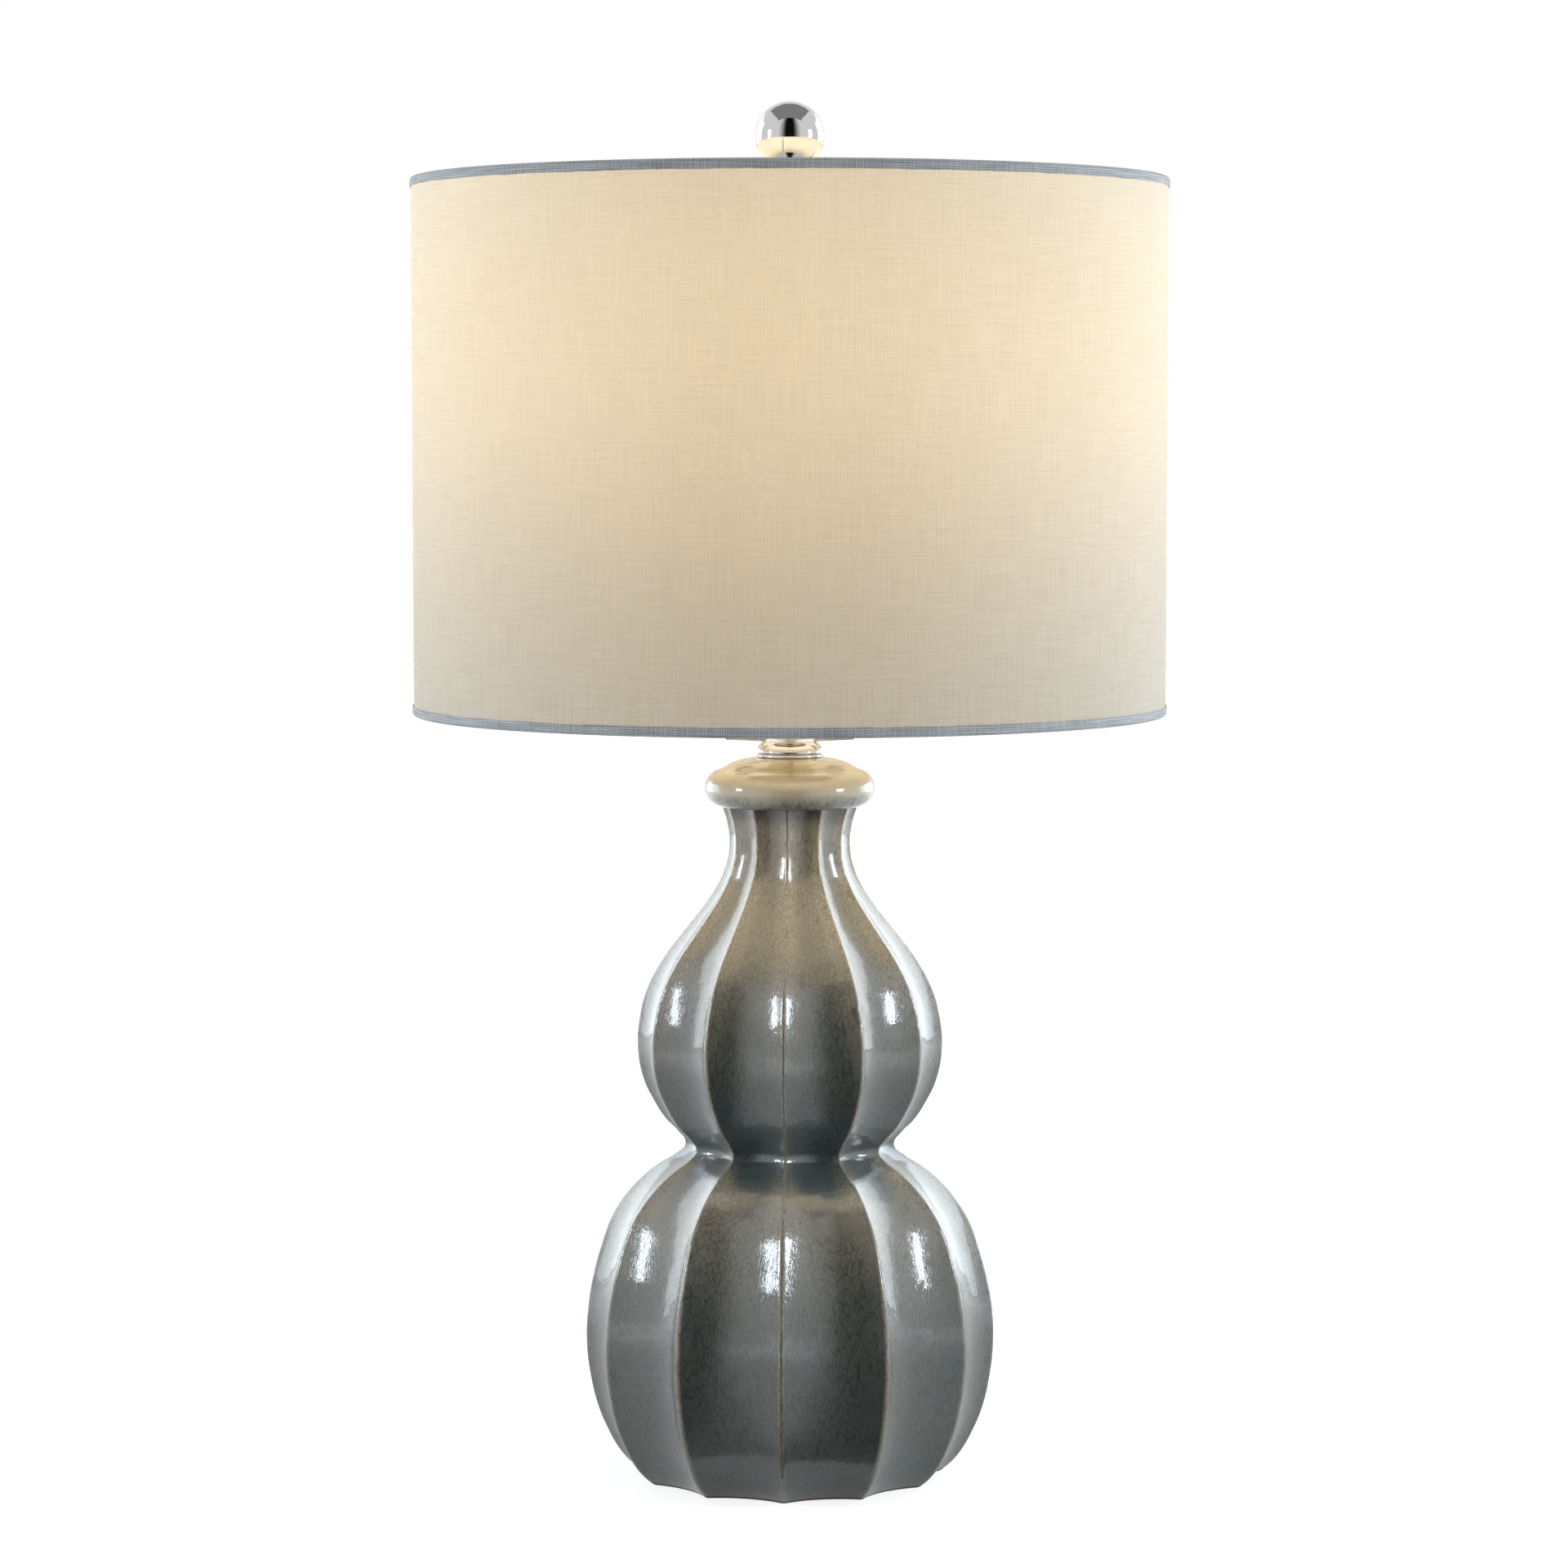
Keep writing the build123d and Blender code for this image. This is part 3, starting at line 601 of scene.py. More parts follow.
def faced(bm: bmesh.types.BMesh, outwards: bool) -> None:
    """Point the faces of an open band away from the Z axis, or else towards it."""
    side = bm.faces[:][0]
    across = side.normal.dot(side.calc_center_median() * Vector((1, 1, 0)))
    if (across > 0) != outwards:
        bmesh.ops.reverse_faces(bm, faces=bm.faces)


def piece(name: str, bm: bmesh.types.BMesh, materials: list[bpy.types.Material], body: str,
          shading: Shading = Shading.SMOOTH) -> bpy.types.Object:
    """Make an object of a shape and let it ride on a body.

    Args:
        name: Name of the piece.
        bm: Its shape, which is freed.
        materials: Its materials in the order of the faces' numbers.
        body: Body that carries it.
        shading: How its faces are shaded.

    Returns:
        The new object.
    """
    mesh = meshed(name, bm)
    for material in materials:
        mesh.materials.append(material)
    mesh.shade_smooth()
    if shading is Shading.CREASED:
        mesh.set_sharp_from_angle(angle=CREASE)
    made = placed(name, mesh)
    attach(made, body)
    LOG.info("%s: %d faces on %s", name, len(mesh.polygons), body)
    return made


def dress(material: bpy.types.Material, *nodes: str) -> None:
    """Give carried-over solids a material.

    Args:
        material: The material.
        nodes: Names of the solids.
    """
    for name in nodes:
        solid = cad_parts[name]
        for place in solid.material_slots:
            place.material = material
        LOG.info("%s: dressed in %s", name, material.name)


# ---------------------------------------------------------------- ceramic body


@dataclass
class GourdBody:
    """Fluted double gourd with its round collar, foot ring and recess.

    The outline and the cavity list heights and radii in millimetres, the outline's along the ridges.
    """

    ridges: int = 12
    front_turn: float = -92.4
    steps_per_ridge: int = 24
    gather: float = 0.72
    crest: float = 0.021
    collar_ring: float = 33.8 * MM
    collar_height: float = 351.0 * MM
    bead: float = 9.5 * MM
    seat_radius: float = 16.9 * MM
    seat_height: float = 366.5 * MM
    neck_hole: float = 8.0 * MM
    foot_hole: float = 5.3 * MM
    recess_radius: float = 64.0 * MM
    recess_depth: float = 16.0 * MM
    felt_radius: float = 67.1 * MM
    felt_top: float = 2.5 * MM
    wall: float = 6.5 * MM
    sharpest_crest: float = 1.3 * MM
    glaze_line: float = 1.5 * MM
    hand_wobble: float = 0.0022
    junction: float = 341.7 * MM
    cord_turn: float = 102.6
    cord_height: float = 9.0 * MM
    cord_hole: float = 5.5 * MM
    outline: list[tuple[float, float]] = field(default_factory=lambda: [
        (0.4, 77.7), (1.3, 79.0), (5.8, 84.0), (12.0, 88.8), (20.0, 93.2), (32.0, 98.3), (48.0, 102.2),
        (66.0, 104.2), (83.0, 103.6), (100.0, 100.9), (116.0, 96.6), (130.0, 91.5), (142.0, 84.0),
        (152.0, 74.7), (158.5, 66.3), (163.5, 58.0), (168.8, 53.3), (174.5, 56.8), (181.0, 63.2),
        (190.0, 69.2), (203.0, 75.2), (219.0, 77.7), (234.0, 76.6), (248.0, 72.8), (264.0, 64.2),
        (279.7, 52.3), (290.0, 44.2), (300.0, 37.5), (311.0, 32.6), (323.0, 30.7), (334.0, 32.0),
        (341.6, 34.4),
    ])
    cavity: list[tuple[float, float]] = field(default_factory=lambda: [
        (341.6, 22.0), (323.0, 21.0), (290.0, 32.0), (248.0, 57.0), (219.0, 62.0), (190.0, 54.0),
        (168.8, 40.0), (152.0, 58.0), (100.0, 82.0), (66.0, 85.5), (32.0, 80.0), (24.0, 76.0),
    ])

    def keys(self) -> list[Key]:
        """Closed outline of the casting, from the foot up the outside and down the inside."""
        ring, high, bead = self.collar_ring, self.collar_height, self.bead
        body = [(radius * MM, height * MM, True) for height, radius in self.outline[:-1]]
        last = self.outline[-1]
        body.append((last[1] * MM, last[0] * MM, False))
        turns = [18, 45, 70, 95, 120, 143, 158, 168]
        round_bead = [(ring + bead * math.sin(math.radians(t)), high - bead * math.cos(math.radians(t)), True)
                      for t in turns]
        shoulder = [(radius * MM, height * MM, True)
                    for radius, height in ((34.4, 360.9), (30.0, 363.3), (23.5, 365.7))]
        seat = [(self.seat_radius, self.seat_height, False), (self.neck_hole, self.seat_height, False)]
        inside = [(self.neck_hole, 345.0 * MM, False)]
        inside += [(radius * MM, height * MM, False) for height, radius in self.cavity]
        floor = self.cavity[-1][0] * MM
        return body + round_bead + shoulder + seat + inside + [
            (self.foot_hole, floor, False),
            (self.foot_hole, self.recess_depth, False),
            (self.recess_radius, self.recess_depth, False),
            (self.recess_radius, self.felt_top, False),
            (self.felt_radius, self.felt_top, False),
            (self.felt_radius, 0.3 * MM, False),
            (self.felt_radius + 1.0 * MM, 0.0, False),
            (76.9 * MM, 0.0, False),
        ]

    def valley_ratio(self, height: float) -> float:
        """Valley radius of a flute over its ridge radius at a height."""
        stops = [(0.0, 0.913), (0.066, 0.911), (0.219, 0.911), (0.323, 0.915), (1.0, 0.915)]
        for (low, first), (high, last) in zip(stops, stops[1:]):
            if height <= high:
                share = max(0.0, (height - low) / (high - low))
                return first + (last - first) * share
        return stops[-1][1]

    def section(self, ridge: float, height: float, turn: float) -> float:
        """Radius of the fluted section.

        Args:
            ridge: Ridge radius at this height.
            height: Height.
            turn: Turn from the nearest ridge, in radians.

        Returns:
            Radius at that turn.
        """
        half = math.pi / self.ridges
        valley, crest = ridge * self.valley_ratio(height), max(self.sharpest_crest, ridge * self.crest)
        reach, lean = ridge - crest, math.cos(half)
        flute = (reach**2 + valley**2 - 2 * reach * lean * valley - crest**2) / (
            2 * (crest - valley + reach * lean))
        middle = valley + flute
        share = crest / (crest + flute)
        touch = Vector((reach, 0.0)).lerp(Vector((middle * lean, middle * math.sin(half))), share)
        if turn <= math.atan2(touch.y, touch.x):
            return reach * math.cos(turn) + math.sqrt(max(0.0, crest**2 - (reach * math.sin(turn)) ** 2))
        off = half - turn
        return middle * math.cos(off) - math.sqrt(max(0.0, flute**2 - (middle * math.sin(off)) ** 2))

    def flute(self, bm: bmesh.types.BMesh) -> None:
        """Press the flutes into the turned shape, its steps gathered towards the ridges."""
        step, front = math.tau / self.ridges, math.radians(self.front_turn)
        for vert in bm.verts:
            radius, height = math.hypot(vert.co.x, vert.co.y), vert.co.z
            turn = math.atan2(vert.co.y, vert.co.x) - front
            turn -= self.gather * math.sin(self.ridges * turn) / self.ridges
            outside = height <= self.junction and radius > self.ridge_radius(height) - self.wall / 2
            if outside:
                near = abs((turn + step / 2) % step - step / 2)
                wobble = noise.noise(Vector((math.cos(turn) * 3.0, math.sin(turn) * 3.0, height * 28.0)))
                radius = self.section(radius, height, near) * (1 + self.hand_wobble * wobble)
            vert.co.x, vert.co.y = radius * math.cos(turn + front), radius * math.sin(turn + front)

    def ridge_radius(self, height: float) -> float:
        """Radius of the ridges at a height."""
        rows = sorted(self.outline)
        for (low, first), (high, last) in zip(rows, rows[1:]):
            if height <= high * MM:
                share = max(0.0, (height - low * MM) / ((high - low) * MM))
                return (first + (last - first) * share) * MM
        return rows[-1][1] * MM

    def drill(self, made: bpy.types.Object) -> None:
        """Drill the cord hole at the back with a Boolean, and keep its result."""
        bm = bmesh.new()
        bmesh.ops.create_cone(bm, cap_ends=True, segments=48, radius1=self.cord_hole, radius2=self.cord_hole,
                              depth=0.04)
        turn = math.radians(self.cord_turn)
        way = Vector((math.cos(turn), math.sin(turn), 0.0))
        spot = way * 0.078 + Vector((0.0, 0.0, self.cord_height))
        bm.transform(Matrix.Translation(spot) @ way.to_track_quat("Z", "Y").to_matrix().to_4x4())
        cutter = placed("cord_drill", meshed("cord_drill", bm))
        cut = made.modifiers.new("cord_hole", "BOOLEAN")
        cut.operation, cut.object, cut.solver = "DIFFERENCE", cutter, "EXACT"
        result = bpy.data.meshes.new_from_object(made.evaluated_get(bpy.context.evaluated_depsgraph_get()))
        made.modifiers.clear()
        made.data = result
        bpy.data.objects.remove(cutter)

    def build(self) -> bpy.types.Object:
        """Build the casting in its glaze, with bare clay under the foot."""
        bm = turned(self.keys(), self.ridges * self.steps_per_ridge, 5)
        self.flute(bm)
        for face in bm.faces:
            middle = face.calc_center_median()
            inside = self.ridge_radius(middle.z) * self.valley_ratio(middle.z) - self.wall / 2
            glazed = middle.z > self.glaze_line and math.hypot(middle.x, middle.y) > inside
            face.material_index = 0 if glazed or middle.z > self.junction else 1
        glaze = CrackleGlaze(self.ridges, self.front_turn).make()
        made = piece("gourd_body", bm, [glaze, Bisque().make()], "base", Shading.CREASED)
        self.drill(made)
        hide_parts("ceramic_body")
        return made


# ---------------------------------------------------------------- metalwork on the neck and the finial


@dataclass
class NeckMetal:
    """Polished disc and cap between the collar and the harp."""

    disc_radius: float = 16.9 * MM
    disc_base: float = 366.5 * MM
    cap_base: float = 368.1 * MM
    cap_top: float = 374.5 * MM
    cap_radius: float = 16.4 * MM
    crown_radius: float = 13.4 * MM
    hole: float = 4.98 * MM

    def build(self, chrome: bpy.types.Material) -> None:
        """Build both pieces.

        Args:
            chrome: Material of both.
        """
        wide, low, top, soft = self.disc_radius, self.disc_base, self.cap_base, 0.35 * MM
        disc = turned([
            (self.hole, low, False), (wide - soft, low, False), (wide, low + soft, True),
            (wide, top - soft, True), (wide - soft, top, False), (self.hole, top, False),
        ], 128, 3)
        made = piece("neck_plate", disc, [chrome], "base", Shading.CREASED)
        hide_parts("neck_disc")
        r, base, crown = self.cap_radius, self.cap_base, self.cap_top
        cap = turned([
            (self.crown_radius, base, False), (r - 0.7 * MM, base, False),
            (r - 0.4 * MM, base + 0.5 * MM, True), (r, base + 0.9 * MM, True),
            (r, base + 2.2 * MM, True), (r - 0.6 * MM, base + 4.0 * MM, True),
            (r - 1.7 * MM, base + 5.4 * MM, True), (self.crown_radius, crown - 0.15 * MM, True),
            (self.crown_radius - 1.2 * MM, crown, False), (self.hole, crown, False),
            (self.hole, crown - 1.0 * MM, False), (self.crown_radius, crown - 1.0 * MM, False),
        ], 128, 4)
        made = piece("neck_dish", cap, [chrome], "base", Shading.CREASED)
        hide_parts("neck_cap")


@dataclass
class BallFinial:
    """Polished ball with its neck, flange and bore."""

    ball: float = 17.4 * MM
    centre: float = 679.0 * MM
    base: float = 647.6 * MM
    bore: float = 5.03 * MM
    flange: float = 9.5 * MM
    flange_height: float = 3.0 * MM
    neck: float = 7.5 * MM
    bore_top: float = 662.0 * MM
    stops: int = 14

    def build(self, chrome: bpy.types.Material) -> None:
        """Build the finial.

        Args:
            chrome: Its material.
        """
        soft, low, high = 0.5 * MM, self.base, self.base + self.flange_height
        start = math.degrees(math.asin((self.neck + 0.6 * MM) / self.ball))
        turns = [start + (180 - start) * k / self.stops for k in range(self.stops + 1)]
        arc = [(max(0.0, self.ball * math.sin(math.radians(t))),
                self.centre - self.ball * math.cos(math.radians(t)), 0 < k < self.stops)
               for k, t in enumerate(turns)]
        bm = turned([
            (0.0, self.bore_top, False), (self.bore, self.bore_top, False), (self.bore, low, False),
            (self.flange - soft, low, False), (self.flange, low + soft, True),
            (self.flange, high - soft, True), (self.flange - soft, high, True), (self.neck + soft, high, True),
            (self.neck, high + soft, True), (self.neck, high + 5 * MM, True), *arc,
        ], 128, 5, closed=False)
        made = piece("finial_knob", bm, [chrome], "finial", Shading.CREASED)
        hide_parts("finial_ball")


@dataclass
class HarpSaddle:
    """Pressed strap that carries the harp, drawn thinner towards its ends."""

    flat_base: float = 374.5 * MM
    hub: float = 13.0 * MM
    drawn: float = 0.9 * MM

    def build(self, metal: bpy.types.Material) -> None:
        """Build the strap from the solid's own faces.

        Args:
            metal: Its material.
        """
        bm = bmesh.new()
        bm.from_mesh(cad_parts["harp_saddle"].data)
        bmesh.ops.remove_doubles(bm, verts=bm.verts, dist=MERGE)
        for vert in bm.verts:
            if abs(vert.co.x) > self.hub and abs(vert.co.z - self.flat_base) < 0.1 * MM:
                vert.co.z += self.drawn
        made = piece("saddle_strap", bm, [metal], "base", Shading.CREASED)
        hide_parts("harp_saddle")


# ---------------------------------------------------------------- shade


@dataclass
class DrumShade:
    """Linen drum with a lapped seam at the back, folded hems and the stiff film inside."""

    radius: float = 190.0 * MM
    hem_radius: float = 190.5 * MM
    film_radius: float = 189.4 * MM
    top: float = 657.6 * MM
    bottom: float = 388.5 * MM
    tuck: float = 0.6 * MM
    hem: float = 5.0 * MM
    wire_ring: float = 188.0 * MM
    wire: float = 1.2 * MM
    arm_turns: tuple[float, float, float] = (-111.0, 9.0, 129.0)
    lap: float = 12.0 * MM
    seam_turn: float = 90.0
    cloth: float = 0.35 * MM
    slack: float = 0.05 * MM
    arm_push: float = 0.4 * MM
    arm_width: float = 2.2 * MM
    arm_drop: float = 7.0 * MM
    arm_height: float = 3.5 * MM
    columns: int = 360
    rows: int = 54

    def map_cloth(self, bm: bmesh.types.BMesh, radius: float) -> None:
        """Lay the cloth map on a band: metres along the thread and metres up.

        Args:
            bm: The band.
            radius: Radius that the metres are counted at.
        """
        layer = bm.loops.layers.uv.new("cloth")
        start = math.radians(self.seam_turn)
        for face in bm.faces:
            middle = face.calc_center_median()
            home = (math.atan2(middle.y, middle.x) - start) % math.tau
            for loop in face.loops:
                turn = (math.atan2(loop.vert.co.y, loop.vert.co.x) - start) % math.tau
                turn += math.tau * round((home - turn) / math.tau)
                off = math.hypot(loop.vert.co.x, loop.vert.co.y) - radius
                loop[layer].uv = (turn * radius, loop.vert.co.z + (off if face.normal.z > 0.5 else 0.0))

    def fabric(self) -> bpy.types.Object:
        """One strip of linen bent round, its ends lapped at the back."""
        bm = bmesh.new()
        length = math.tau * self.radius + self.lap
        height = self.top - self.bottom - 2 * self.tuck
        bmesh.ops.create_grid(bm, x_segments=self.columns, y_segments=self.rows, size=0.5)
        layer = bm.loops.layers.uv.new("cloth")
        for face in bm.faces:
            for loop in face.loops:
                loop[layer].uv = ((loop.vert.co.x + 0.5) * length, (loop.vert.co.y + 0.5) * height)
        start = math.radians(self.seam_turn)
        for vert in bm.verts:
            along, up = (vert.co.x + 0.5) * length, (vert.co.y + 0.5) * height
            over = max(0.0, (along - math.tau * self.radius + self.lap) / (2 * self.lap))
            lift = self.cloth * min(1.0, over * 2) if over > 0 else 0.0
            slack = self.slack * noise.noise(Vector((along * 14, up * 9, 0.0)))
            turn = start + along / self.radius
            for arm in self.arm_turns:
                across = self.radius * math.sin(turn - math.radians(arm))
                if math.cos(turn - math.radians(arm)) > 0:
                    below = (height - up - self.arm_drop) / self.arm_height
                    lift += self.arm_push * math.exp(-(across / self.arm_width) ** 2 - below**2)
            reach = self.radius - 0.15 * MM + lift + slack
            vert.co = (reach * math.cos(turn), reach * math.sin(turn), self.bottom + self.tuck + up)
        bmesh.ops.recalc_face_normals(bm, faces=bm.faces)
        faced(bm, outwards=True)
        weave = Linen("linen_weave", length=length, lap=self.lap)
        made = piece("shade_linen", bm, [weave.make()], "shade")
        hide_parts("shade_fabric")
        return made

    def film(self) -> bpy.types.Object:
        """Stiff film that the linen is mounted on, facing the bulb."""
        low, high = self.bottom + self.tuck, self.top - self.tuck
        bm = turned([(self.film_radius, low, False), (self.film_radius, high, False)], 240, 24, closed=False)
        faced(bm, outwards=False)
        made = piece("shade_film", bm, [Film().make()], "shade")
        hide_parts("shade_liner")
        return made

    def folded_hem(self, name: str, node: str, rim: float, way: int) -> bpy.types.Object:
        """Strip of linen folded over one rim and its wire.

        Args:
            name: Name of the piece.
            node: Solid that it stands for.
            rim: Height of the rim.
            way: 1 where the rim is the top, and -1 where it is the bottom.

        Returns:
            The hem.
        """
        thick = self.cloth
        out, inn = self.hem_radius, self.wire_ring - self.wire - thick
        keys = [
            (out - thick, -self.hem, False), (out - 0.05 * MM, -self.hem + 0.05 * MM, False),
            (out, -self.hem + 0.5 * MM, True), (out, -2.0 * MM, True), (out - 0.25 * MM, -0.9 * MM, True),
            (out - 1.2 * MM, -0.12 * MM, True), (self.wire_ring, 0.0, True),
            (inn + 0.5 * MM, -0.5 * MM, True), (inn, -1.5 * MM, True), (inn + 0.1 * MM, -3.2 * MM, False),
            (inn + 0.45 * MM, -3.2 * MM, False), (inn + 0.4 * MM, -1.6 * MM, True),
            (self.wire_ring, -0.35 * MM, True),
            (out - 1.3 * MM, -0.5 * MM, True), (out - thick - 0.2 * MM, -1.2 * MM, True),
            (out - thick, -2.2 * MM, True),
        ]
        bm = turned([(r, z * way, smooth) for r, z, smooth in keys], self.columns, 2)
        self.map_cloth(bm, self.radius)
        for vert in bm.verts:
            turn = math.atan2(vert.co.y, vert.co.x)
            ripple = noise.noise(Vector((math.cos(turn) * 22, math.sin(turn) * 22, rim * 9)))
            free = min(1.0, abs(vert.co.z) / self.hem)
            vert.co.z += rim + 0.35 * MM * ripple * free * (1 if vert.co.z * way < -3.5 * MM else 0)
        hem_linen = Linen(name + "_weave", flax=(0.92, 0.91, 0.90), gap=(0.19, 0.20, 0.22), through=0.0)
        made = piece(name, bm, [hem_linen.make()], "shade")
        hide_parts(node)
        return made

    def build(self) -> None:
        """Build the shade: its linen, its film and its two folded hems."""
        fabric = self.fabric()
        self.film()
        hems = [self.folded_hem("hem_upper", "hem_top", self.top, 1),
                self.folded_hem("hem_lower", "hem_bottom", self.bottom, -1)]


# ---------------------------------------------------------------- carried-over solids


@dataclass
class Fittings:
    """Finishes of the solids that keep their own shape."""

    def build(self) -> None:
        """Make each finish and dress its solids."""
        steel = Metal("zinc_steel", (0.56, 0.56, 0.55), (0.33, 0.31, 0.28), 0.32, marks=0.00002)
        nickel = Metal("bright_nickel", (0.72, 0.69, 0.63), (0.45, 0.42, 0.37), 0.16, (1.0, 1.0, 0.1))
        brass = Metal("lacquered_brass", (0.80, 0.62, 0.30), (0.42, 0.30, 0.14), 0.22, (1.0, 1.0, 0.15))
        wire = Metal("enamelled_wire", (0.78, 0.77, 0.74), (0.55, 0.54, 0.52), 0.38, marks=0.00004)
        thread = Metal("drawn_aluminium", (0.83, 0.83, 0.82), (0.55, 0.55, 0.54), 0.25, (0.1, 0.1, 1.0))
        solder = Metal("solder_contact", (0.62, 0.61, 0.58), (0.36, 0.35, 0.33), 0.35, marks=0.00006,
                       tarnish=0.4)
        phenolic = Moulding("black_phenolic", (0.018, 0.017, 0.016), (0.05, 0.047, 0.043), 0.32)
        knob = Moulding("knob_black", (0.014, 0.014, 0.014), (0.03, 0.03, 0.03), 0.24, relief=0.00003)
        board = Moulding("paperboard", (0.50, 0.36, 0.21), (0.38, 0.26, 0.15), 0.8, 900.0, 0.00008)
        sleeve = Moulding("bushing_nylon", (0.03, 0.03, 0.03), (0.06, 0.06, 0.06), 0.45)
        plastic = Moulding("bulb_plastic", (0.80, 0.79, 0.76), (0.74, 0.73, 0.70), 0.4)
        dome = Moulding("bulb_diffuser", (0.86, 0.85, 0.80), (0.82, 0.80, 0.75), 0.5, lit=2.2)
        for finish, nodes in (
            (steel, ("stem", "floor_washer", "lock_washer", "floor_nut", "saddle_nut", "socket_set_screw")),
            (nickel, ("harp", "ferrule_left", "ferrule_right", "harp_stud", "knob_shaft")),
            (brass, ("socket_cap", "socket_shell", "screw_shell", "finial_insert")),
            (wire, ("ring_top", "ring_bottom", "spider")),
            (thread, ("bulb_cap",)),
            (solder, ("centre_contact", "bulb_contact")),
            (phenolic, ("socket_block",)),
            (knob, ("knob",)),
            (board, ("socket_liner",)),
            (sleeve, ("cord_bushing",)),
            (plastic, ("bulb_body",)),
            (dome, ("bulb_dome",)),
            (Felt(), ("felt_disc",)),
        ):
            dress(finish.make(), *nodes)


# ---------------------------------------------------------------- stage


@dataclass
class Studio:
    """White sweep with four tall softboxes, a dark cloth in front, a grey ceiling and the lit bulb."""

    reach: float = 1.75
    box_height: float = 0.78
    aim_height: float = 0.4
    front_turn: float = 72.0
    front_size: tuple[float, float] = (0.32, 0.66)
    front_power: float = 9.4
    rear_turn: float = 130.0
    rear_size: tuple[float, float] = (1.3, 1.5)
    rear_power: float = 11.5
    card_turn: float = 42.0
    card_near: float = 0.13
    card_distance: float = 3.2
    card_height: float = 5.3
    card_thinning: float = 0.27
    card_lift: float = 0.0008
    floor_size: float = 7.0
    floor_tone: float = 0.55
    ceiling_size: float = 1.3
    ceiling_height: float = 2.4
    ceiling_level: float = 0.32
    right_share: float = 1.28
    fill: float = 0.22
    daylight: Colour = (0.85, 0.97, 1.06)
    bulb_height: float = 0.575
    bulb_power: float = 2.2
    bulb_radius: float = 0.031
    bulb_tone: Colour = (1.0, 0.80, 0.52)

    def board(self, name: str, bm: bmesh.types.BMesh, material: bpy.types.Material) -> bpy.types.Object:
        """Board or sweep that belongs to the stage.

        Args:
            name: Its name.
            bm: Its shape, which is freed.
            material: Its material.

        Returns:
            The board.
        """
        mesh = meshed(name, bm)
        mesh.materials.append(material)
        made = placed(name, mesh)
        return made

    def floor(self) -> None:
        """Pale floor that reads white and keeps the lamp's shadow."""
        graph = Graph("floor_white")
        path = graph.add("LightPath", {})
        away = graph.add("VectorMath", {0: graph.place()}, operation="LENGTH").outputs["Value"]
        seen = graph.math("MULTIPLY", path.outputs["Is Camera Ray"], graph.span(away, 0.2, 1.0, 0.78, 1.0))
        far = graph.span(away, 0.2, 1.4, 0.35, 1.0)
        mirrored = graph.math("MULTIPLY", path.outputs["Is Glossy Ray"], far)
        level = graph.math("ADD", seen, mirrored)
        plain = graph.add("BsdfDiffuse", {"Color": (*(self.floor_tone,) * 3, 1.0)}).outputs[0]
        glow = graph.add("Emission", {"Color": (1.0, 1.0, 1.0, 1.0), "Strength": level})
        both = graph.add("AddShader", {0: plain, 1: glow.outputs[0]}).outputs[0]
        bm = bmesh.new()
        bmesh.ops.create_grid(bm, x_segments=1, y_segments=1, size=self.floor_size)
        self.board("floor", bm, graph.finish(both))

    def card(self) -> None:
        """Dark cloth in front, along the floor and up behind the camera, seen only in the gloss."""
        graph = Graph("card_black")
        dark = graph.add("BsdfDiffuse", {"Color": (0.02, 0.018, 0.015, 1.0)}).outputs[0]
        open_air = graph.add("BsdfTransparent", {}).outputs[0]
        parts = graph.add("SeparateXYZ", {0: graph.place()}).outputs
        ahead = graph.math("MULTIPLY", parts[1], -1.0)
        aside = graph.math("ARCTAN2", graph.math("ABSOLUTE", parts[0]), ahead)
        turn = math.radians(self.card_turn)
        thinning = graph.span(aside, turn * self.card_thinning, turn)
        cloth = graph.add("MixShader", {0: thinning, 1: dark, 2: open_air}).outputs[0]
        bm = bmesh.new()
        rows = [(self.card_near, self.card_lift), (self.card_distance, self.card_lift),
                (self.card_distance, self.card_height)]
        edges = [[bm.verts.new((side * r * math.sin(turn), -r * math.cos(turn), z)) for side in (-1, 1)]
                 for r, z in rows]
        for low, high in zip(edges, edges[1:]):
            bm.faces.new((low[0], low[1], high[1], high[0]))
        made = self.board("front_cloth", bm, graph.finish(cloth))
        made.visible_camera = made.visible_shadow = made.visible_diffuse = False

    def ceiling(self) -> None:
        """Grey ceiling, seen only in the gloss."""
        graph = Graph("ceiling_grey")
        feeds = {"Color": (1.0, 1.0, 1.0, 1.0), "Strength": self.ceiling_level}
        grey = graph.add("Emission", feeds).outputs[0]
        bm = bmesh.new()
        bmesh.ops.create_grid(bm, x_segments=1, y_segments=1, size=self.ceiling_size)
        bmesh.ops.translate(bm, vec=(0.0, 0.2, self.ceiling_height), verts=bm.verts)
        made = self.board("ceiling", bm, graph.finish(grey))
        made.visible_camera = made.visible_shadow = made.visible_diffuse = False

    def softbox(self, name: str, turn: float, power: float, size: tuple[float, float]) -> None:
        """Tall softbox that faces the lamp.

        Args:
            name: Its name.
            turn: Its turn from the front in degrees, positive to the right.
            power: Its power in watts.
            size: Its width and height.
        """
        light = bpy.data.lights.new(name, "AREA")
        light.shape, light.size, light.size_y = "RECTANGLE", *size
        light.energy, light.color = power, self.daylight
        lamp = placed(name, light)
        way = math.radians(turn)
        spot = Vector((self.reach * math.sin(way), -self.reach * math.cos(way), self.box_height))
        lamp.location = spot
        lamp.rotation_euler = (Vector((0.0, 0.0, self.aim_height)) - spot).to_track_quat("-Z", "Y").to_euler()
        lamp.visible_camera = False

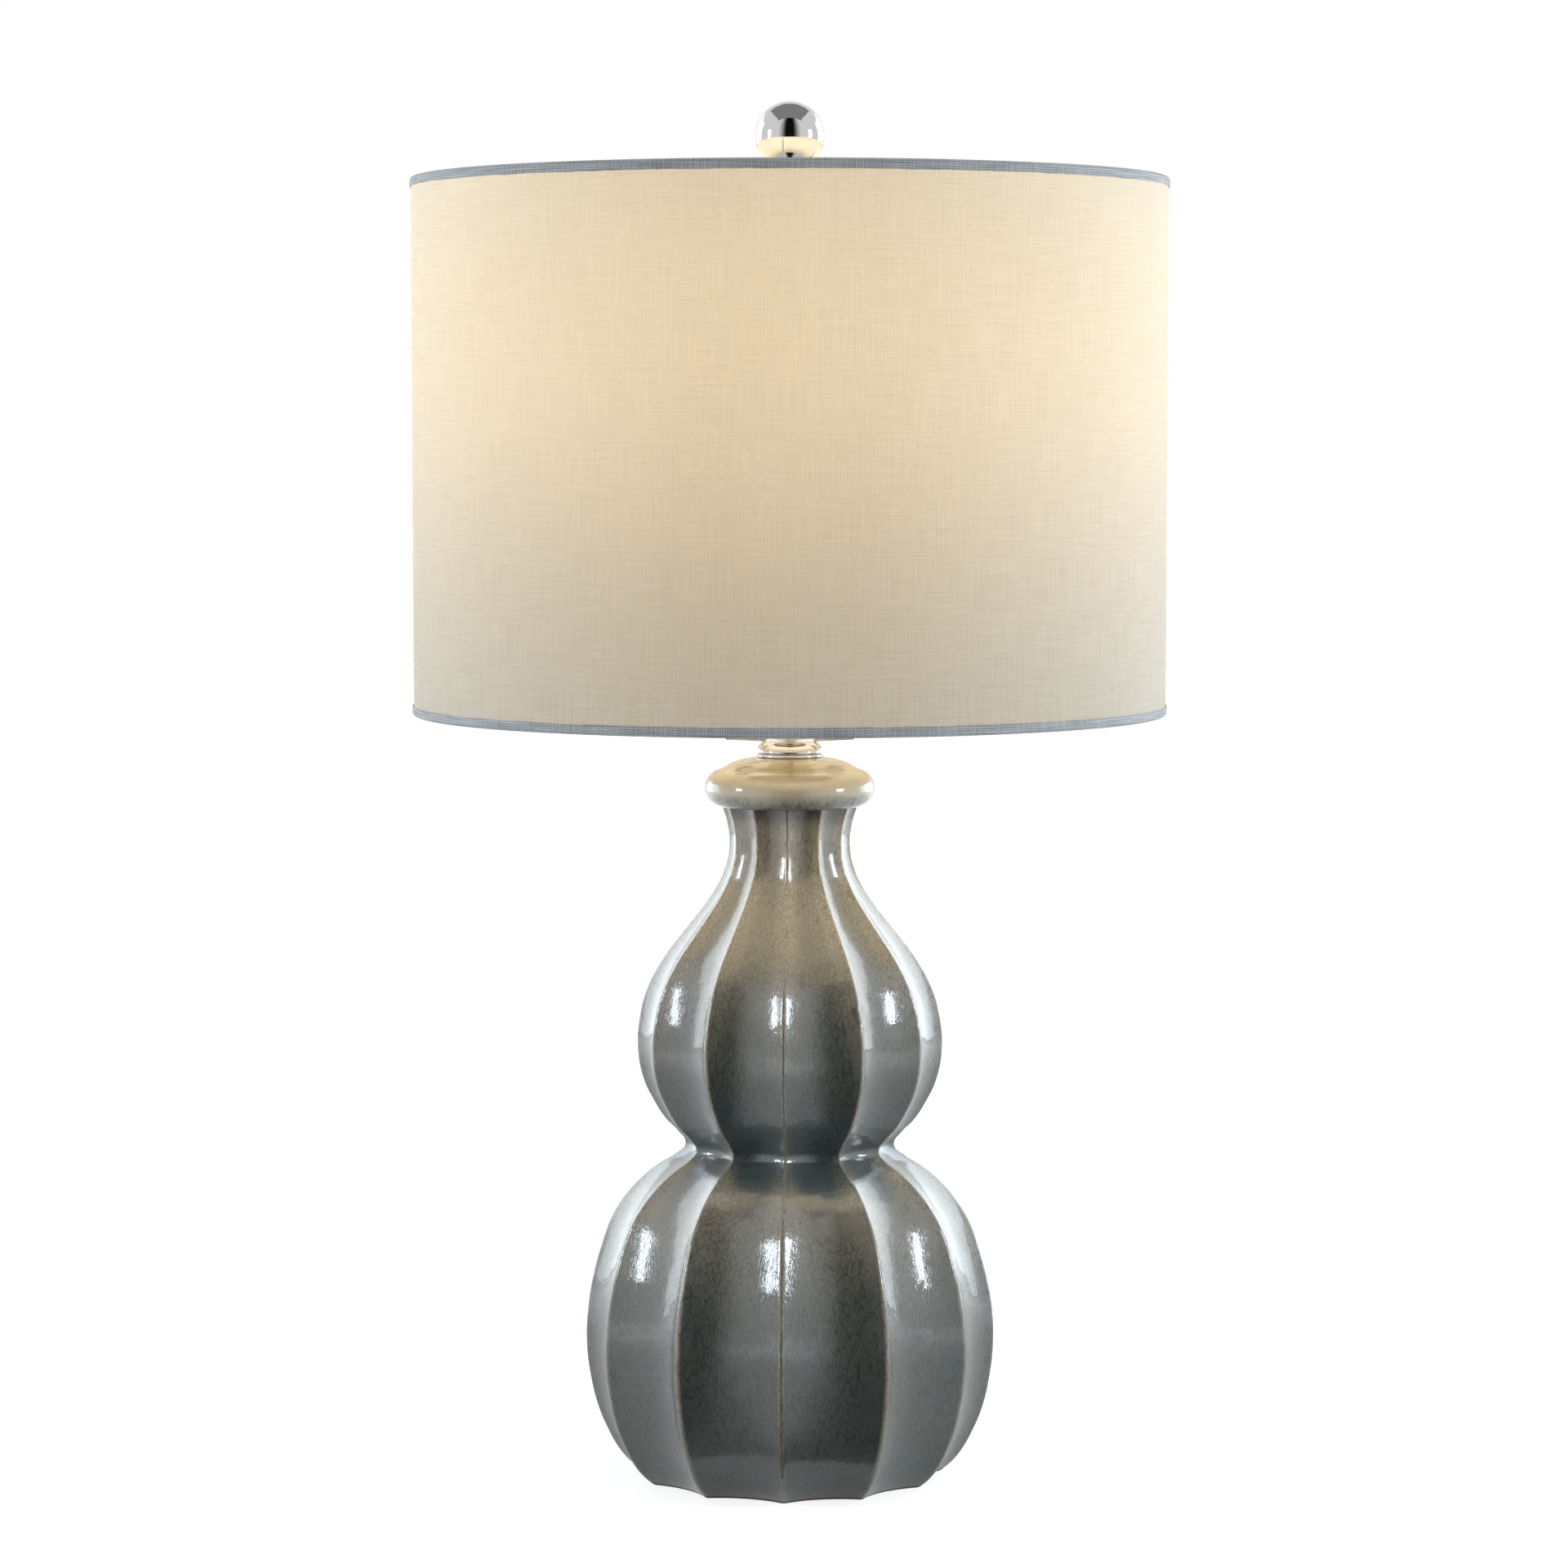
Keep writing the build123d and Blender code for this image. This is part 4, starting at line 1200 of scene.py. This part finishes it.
    def bulb(self) -> None:
        """Warm light of the bulb, which makes the shade glow."""
        light = bpy.data.lights.new("bulb_light", "POINT")
        light.energy, light.shadow_soft_size, light.color = self.bulb_power, self.bulb_radius, self.bulb_tone
        lamp = placed("bulb_light", light)
        lamp.location = (0.0, 0.0, self.bulb_height)
        lamp.visible_camera = False
        lamp.visible_glossy = False

    def world(self) -> None:
        """White surroundings for the eye and in reflections, a soft fill for the rest."""
        world = bpy.data.worlds.new("studio_white")
        bpy.context.scene.world = world
        world.use_nodes = True
        tree = world.node_tree
        tree.nodes.clear()
        path = tree.nodes.new("ShaderNodeLightPath")
        seen = path.outputs["Is Camera Ray"]
        for ray in ("Is Transmission Ray", "Is Glossy Ray"):
            either = tree.nodes.new("ShaderNodeMath")
            either.operation = "MAXIMUM"
            tree.links.new(seen, either.inputs[0])
            tree.links.new(path.outputs[ray], either.inputs[1])
            seen = either.outputs[0]
        level = tree.nodes.new("ShaderNodeMapRange")
        level.inputs["To Min"].default_value = self.fill
        tree.links.new(seen, level.inputs["Value"])
        sky = tree.nodes.new("ShaderNodeBackground")
        sky.inputs["Color"].default_value = (1.0, 1.0, 1.0, 1.0)
        tree.links.new(level.outputs["Result"], sky.inputs["Strength"])
        out = tree.nodes.new("ShaderNodeOutputWorld")
        tree.links.new(sky.outputs[0], out.inputs["Surface"])

    def camera(self) -> None:
        """Camera at the photograph's place."""
        lens = bpy.data.cameras.new("camera")
        lens.lens, lens.sensor_width = 106.86, 36.0
        eye = placed("camera", lens)
        eye.location = (-0.0029, -2.3550, 0.5348)
        eye.rotation_euler = (math.radians(90 - 4.423), 0.0, 0.0)
        bpy.context.scene.camera = eye

    def build(self) -> None:
        """Set the stage."""
        bpy.context.scene.view_settings.view_transform = "Standard"
        self.camera()
        self.floor()
        self.card()
        self.ceiling()
        for place, turn, power, size in (("front", self.front_turn, self.front_power, self.front_size),
                                         ("rear", self.rear_turn, self.rear_power, self.rear_size)):
            self.softbox(f"softbox_{place}_left", -turn, power, size)
            self.softbox(f"softbox_{place}_right", turn, power * self.right_share, size)
        self.bulb()
        self.world()
        LOG.info("stage: floor, cloth, ceiling, four softboxes, bulb light and camera")


def main() -> None:
    """Build the lamp's looks and its stage."""
    logging.basicConfig(level=logging.INFO, format="%(name)s: %(message)s")
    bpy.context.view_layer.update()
    Studio().build()
    chrome = Metal("polished_chrome", (0.58, 0.58, 0.585), (0.45, 0.45, 0.45), 0.035, marks=0.000001,
                   tarnish=0.03).make()
    GourdBody().build()
    NeckMetal().build(chrome)
    BallFinial().build(chrome)
    satin = Metal("satin_nickel", (0.80, 0.78, 0.74), (0.55, 0.53, 0.49), 0.42, marks=0.00003)
    HarpSaddle().build(satin.make())
    DrumShade().build()
    Fittings().build()


if __name__ == "__main__":
    main()
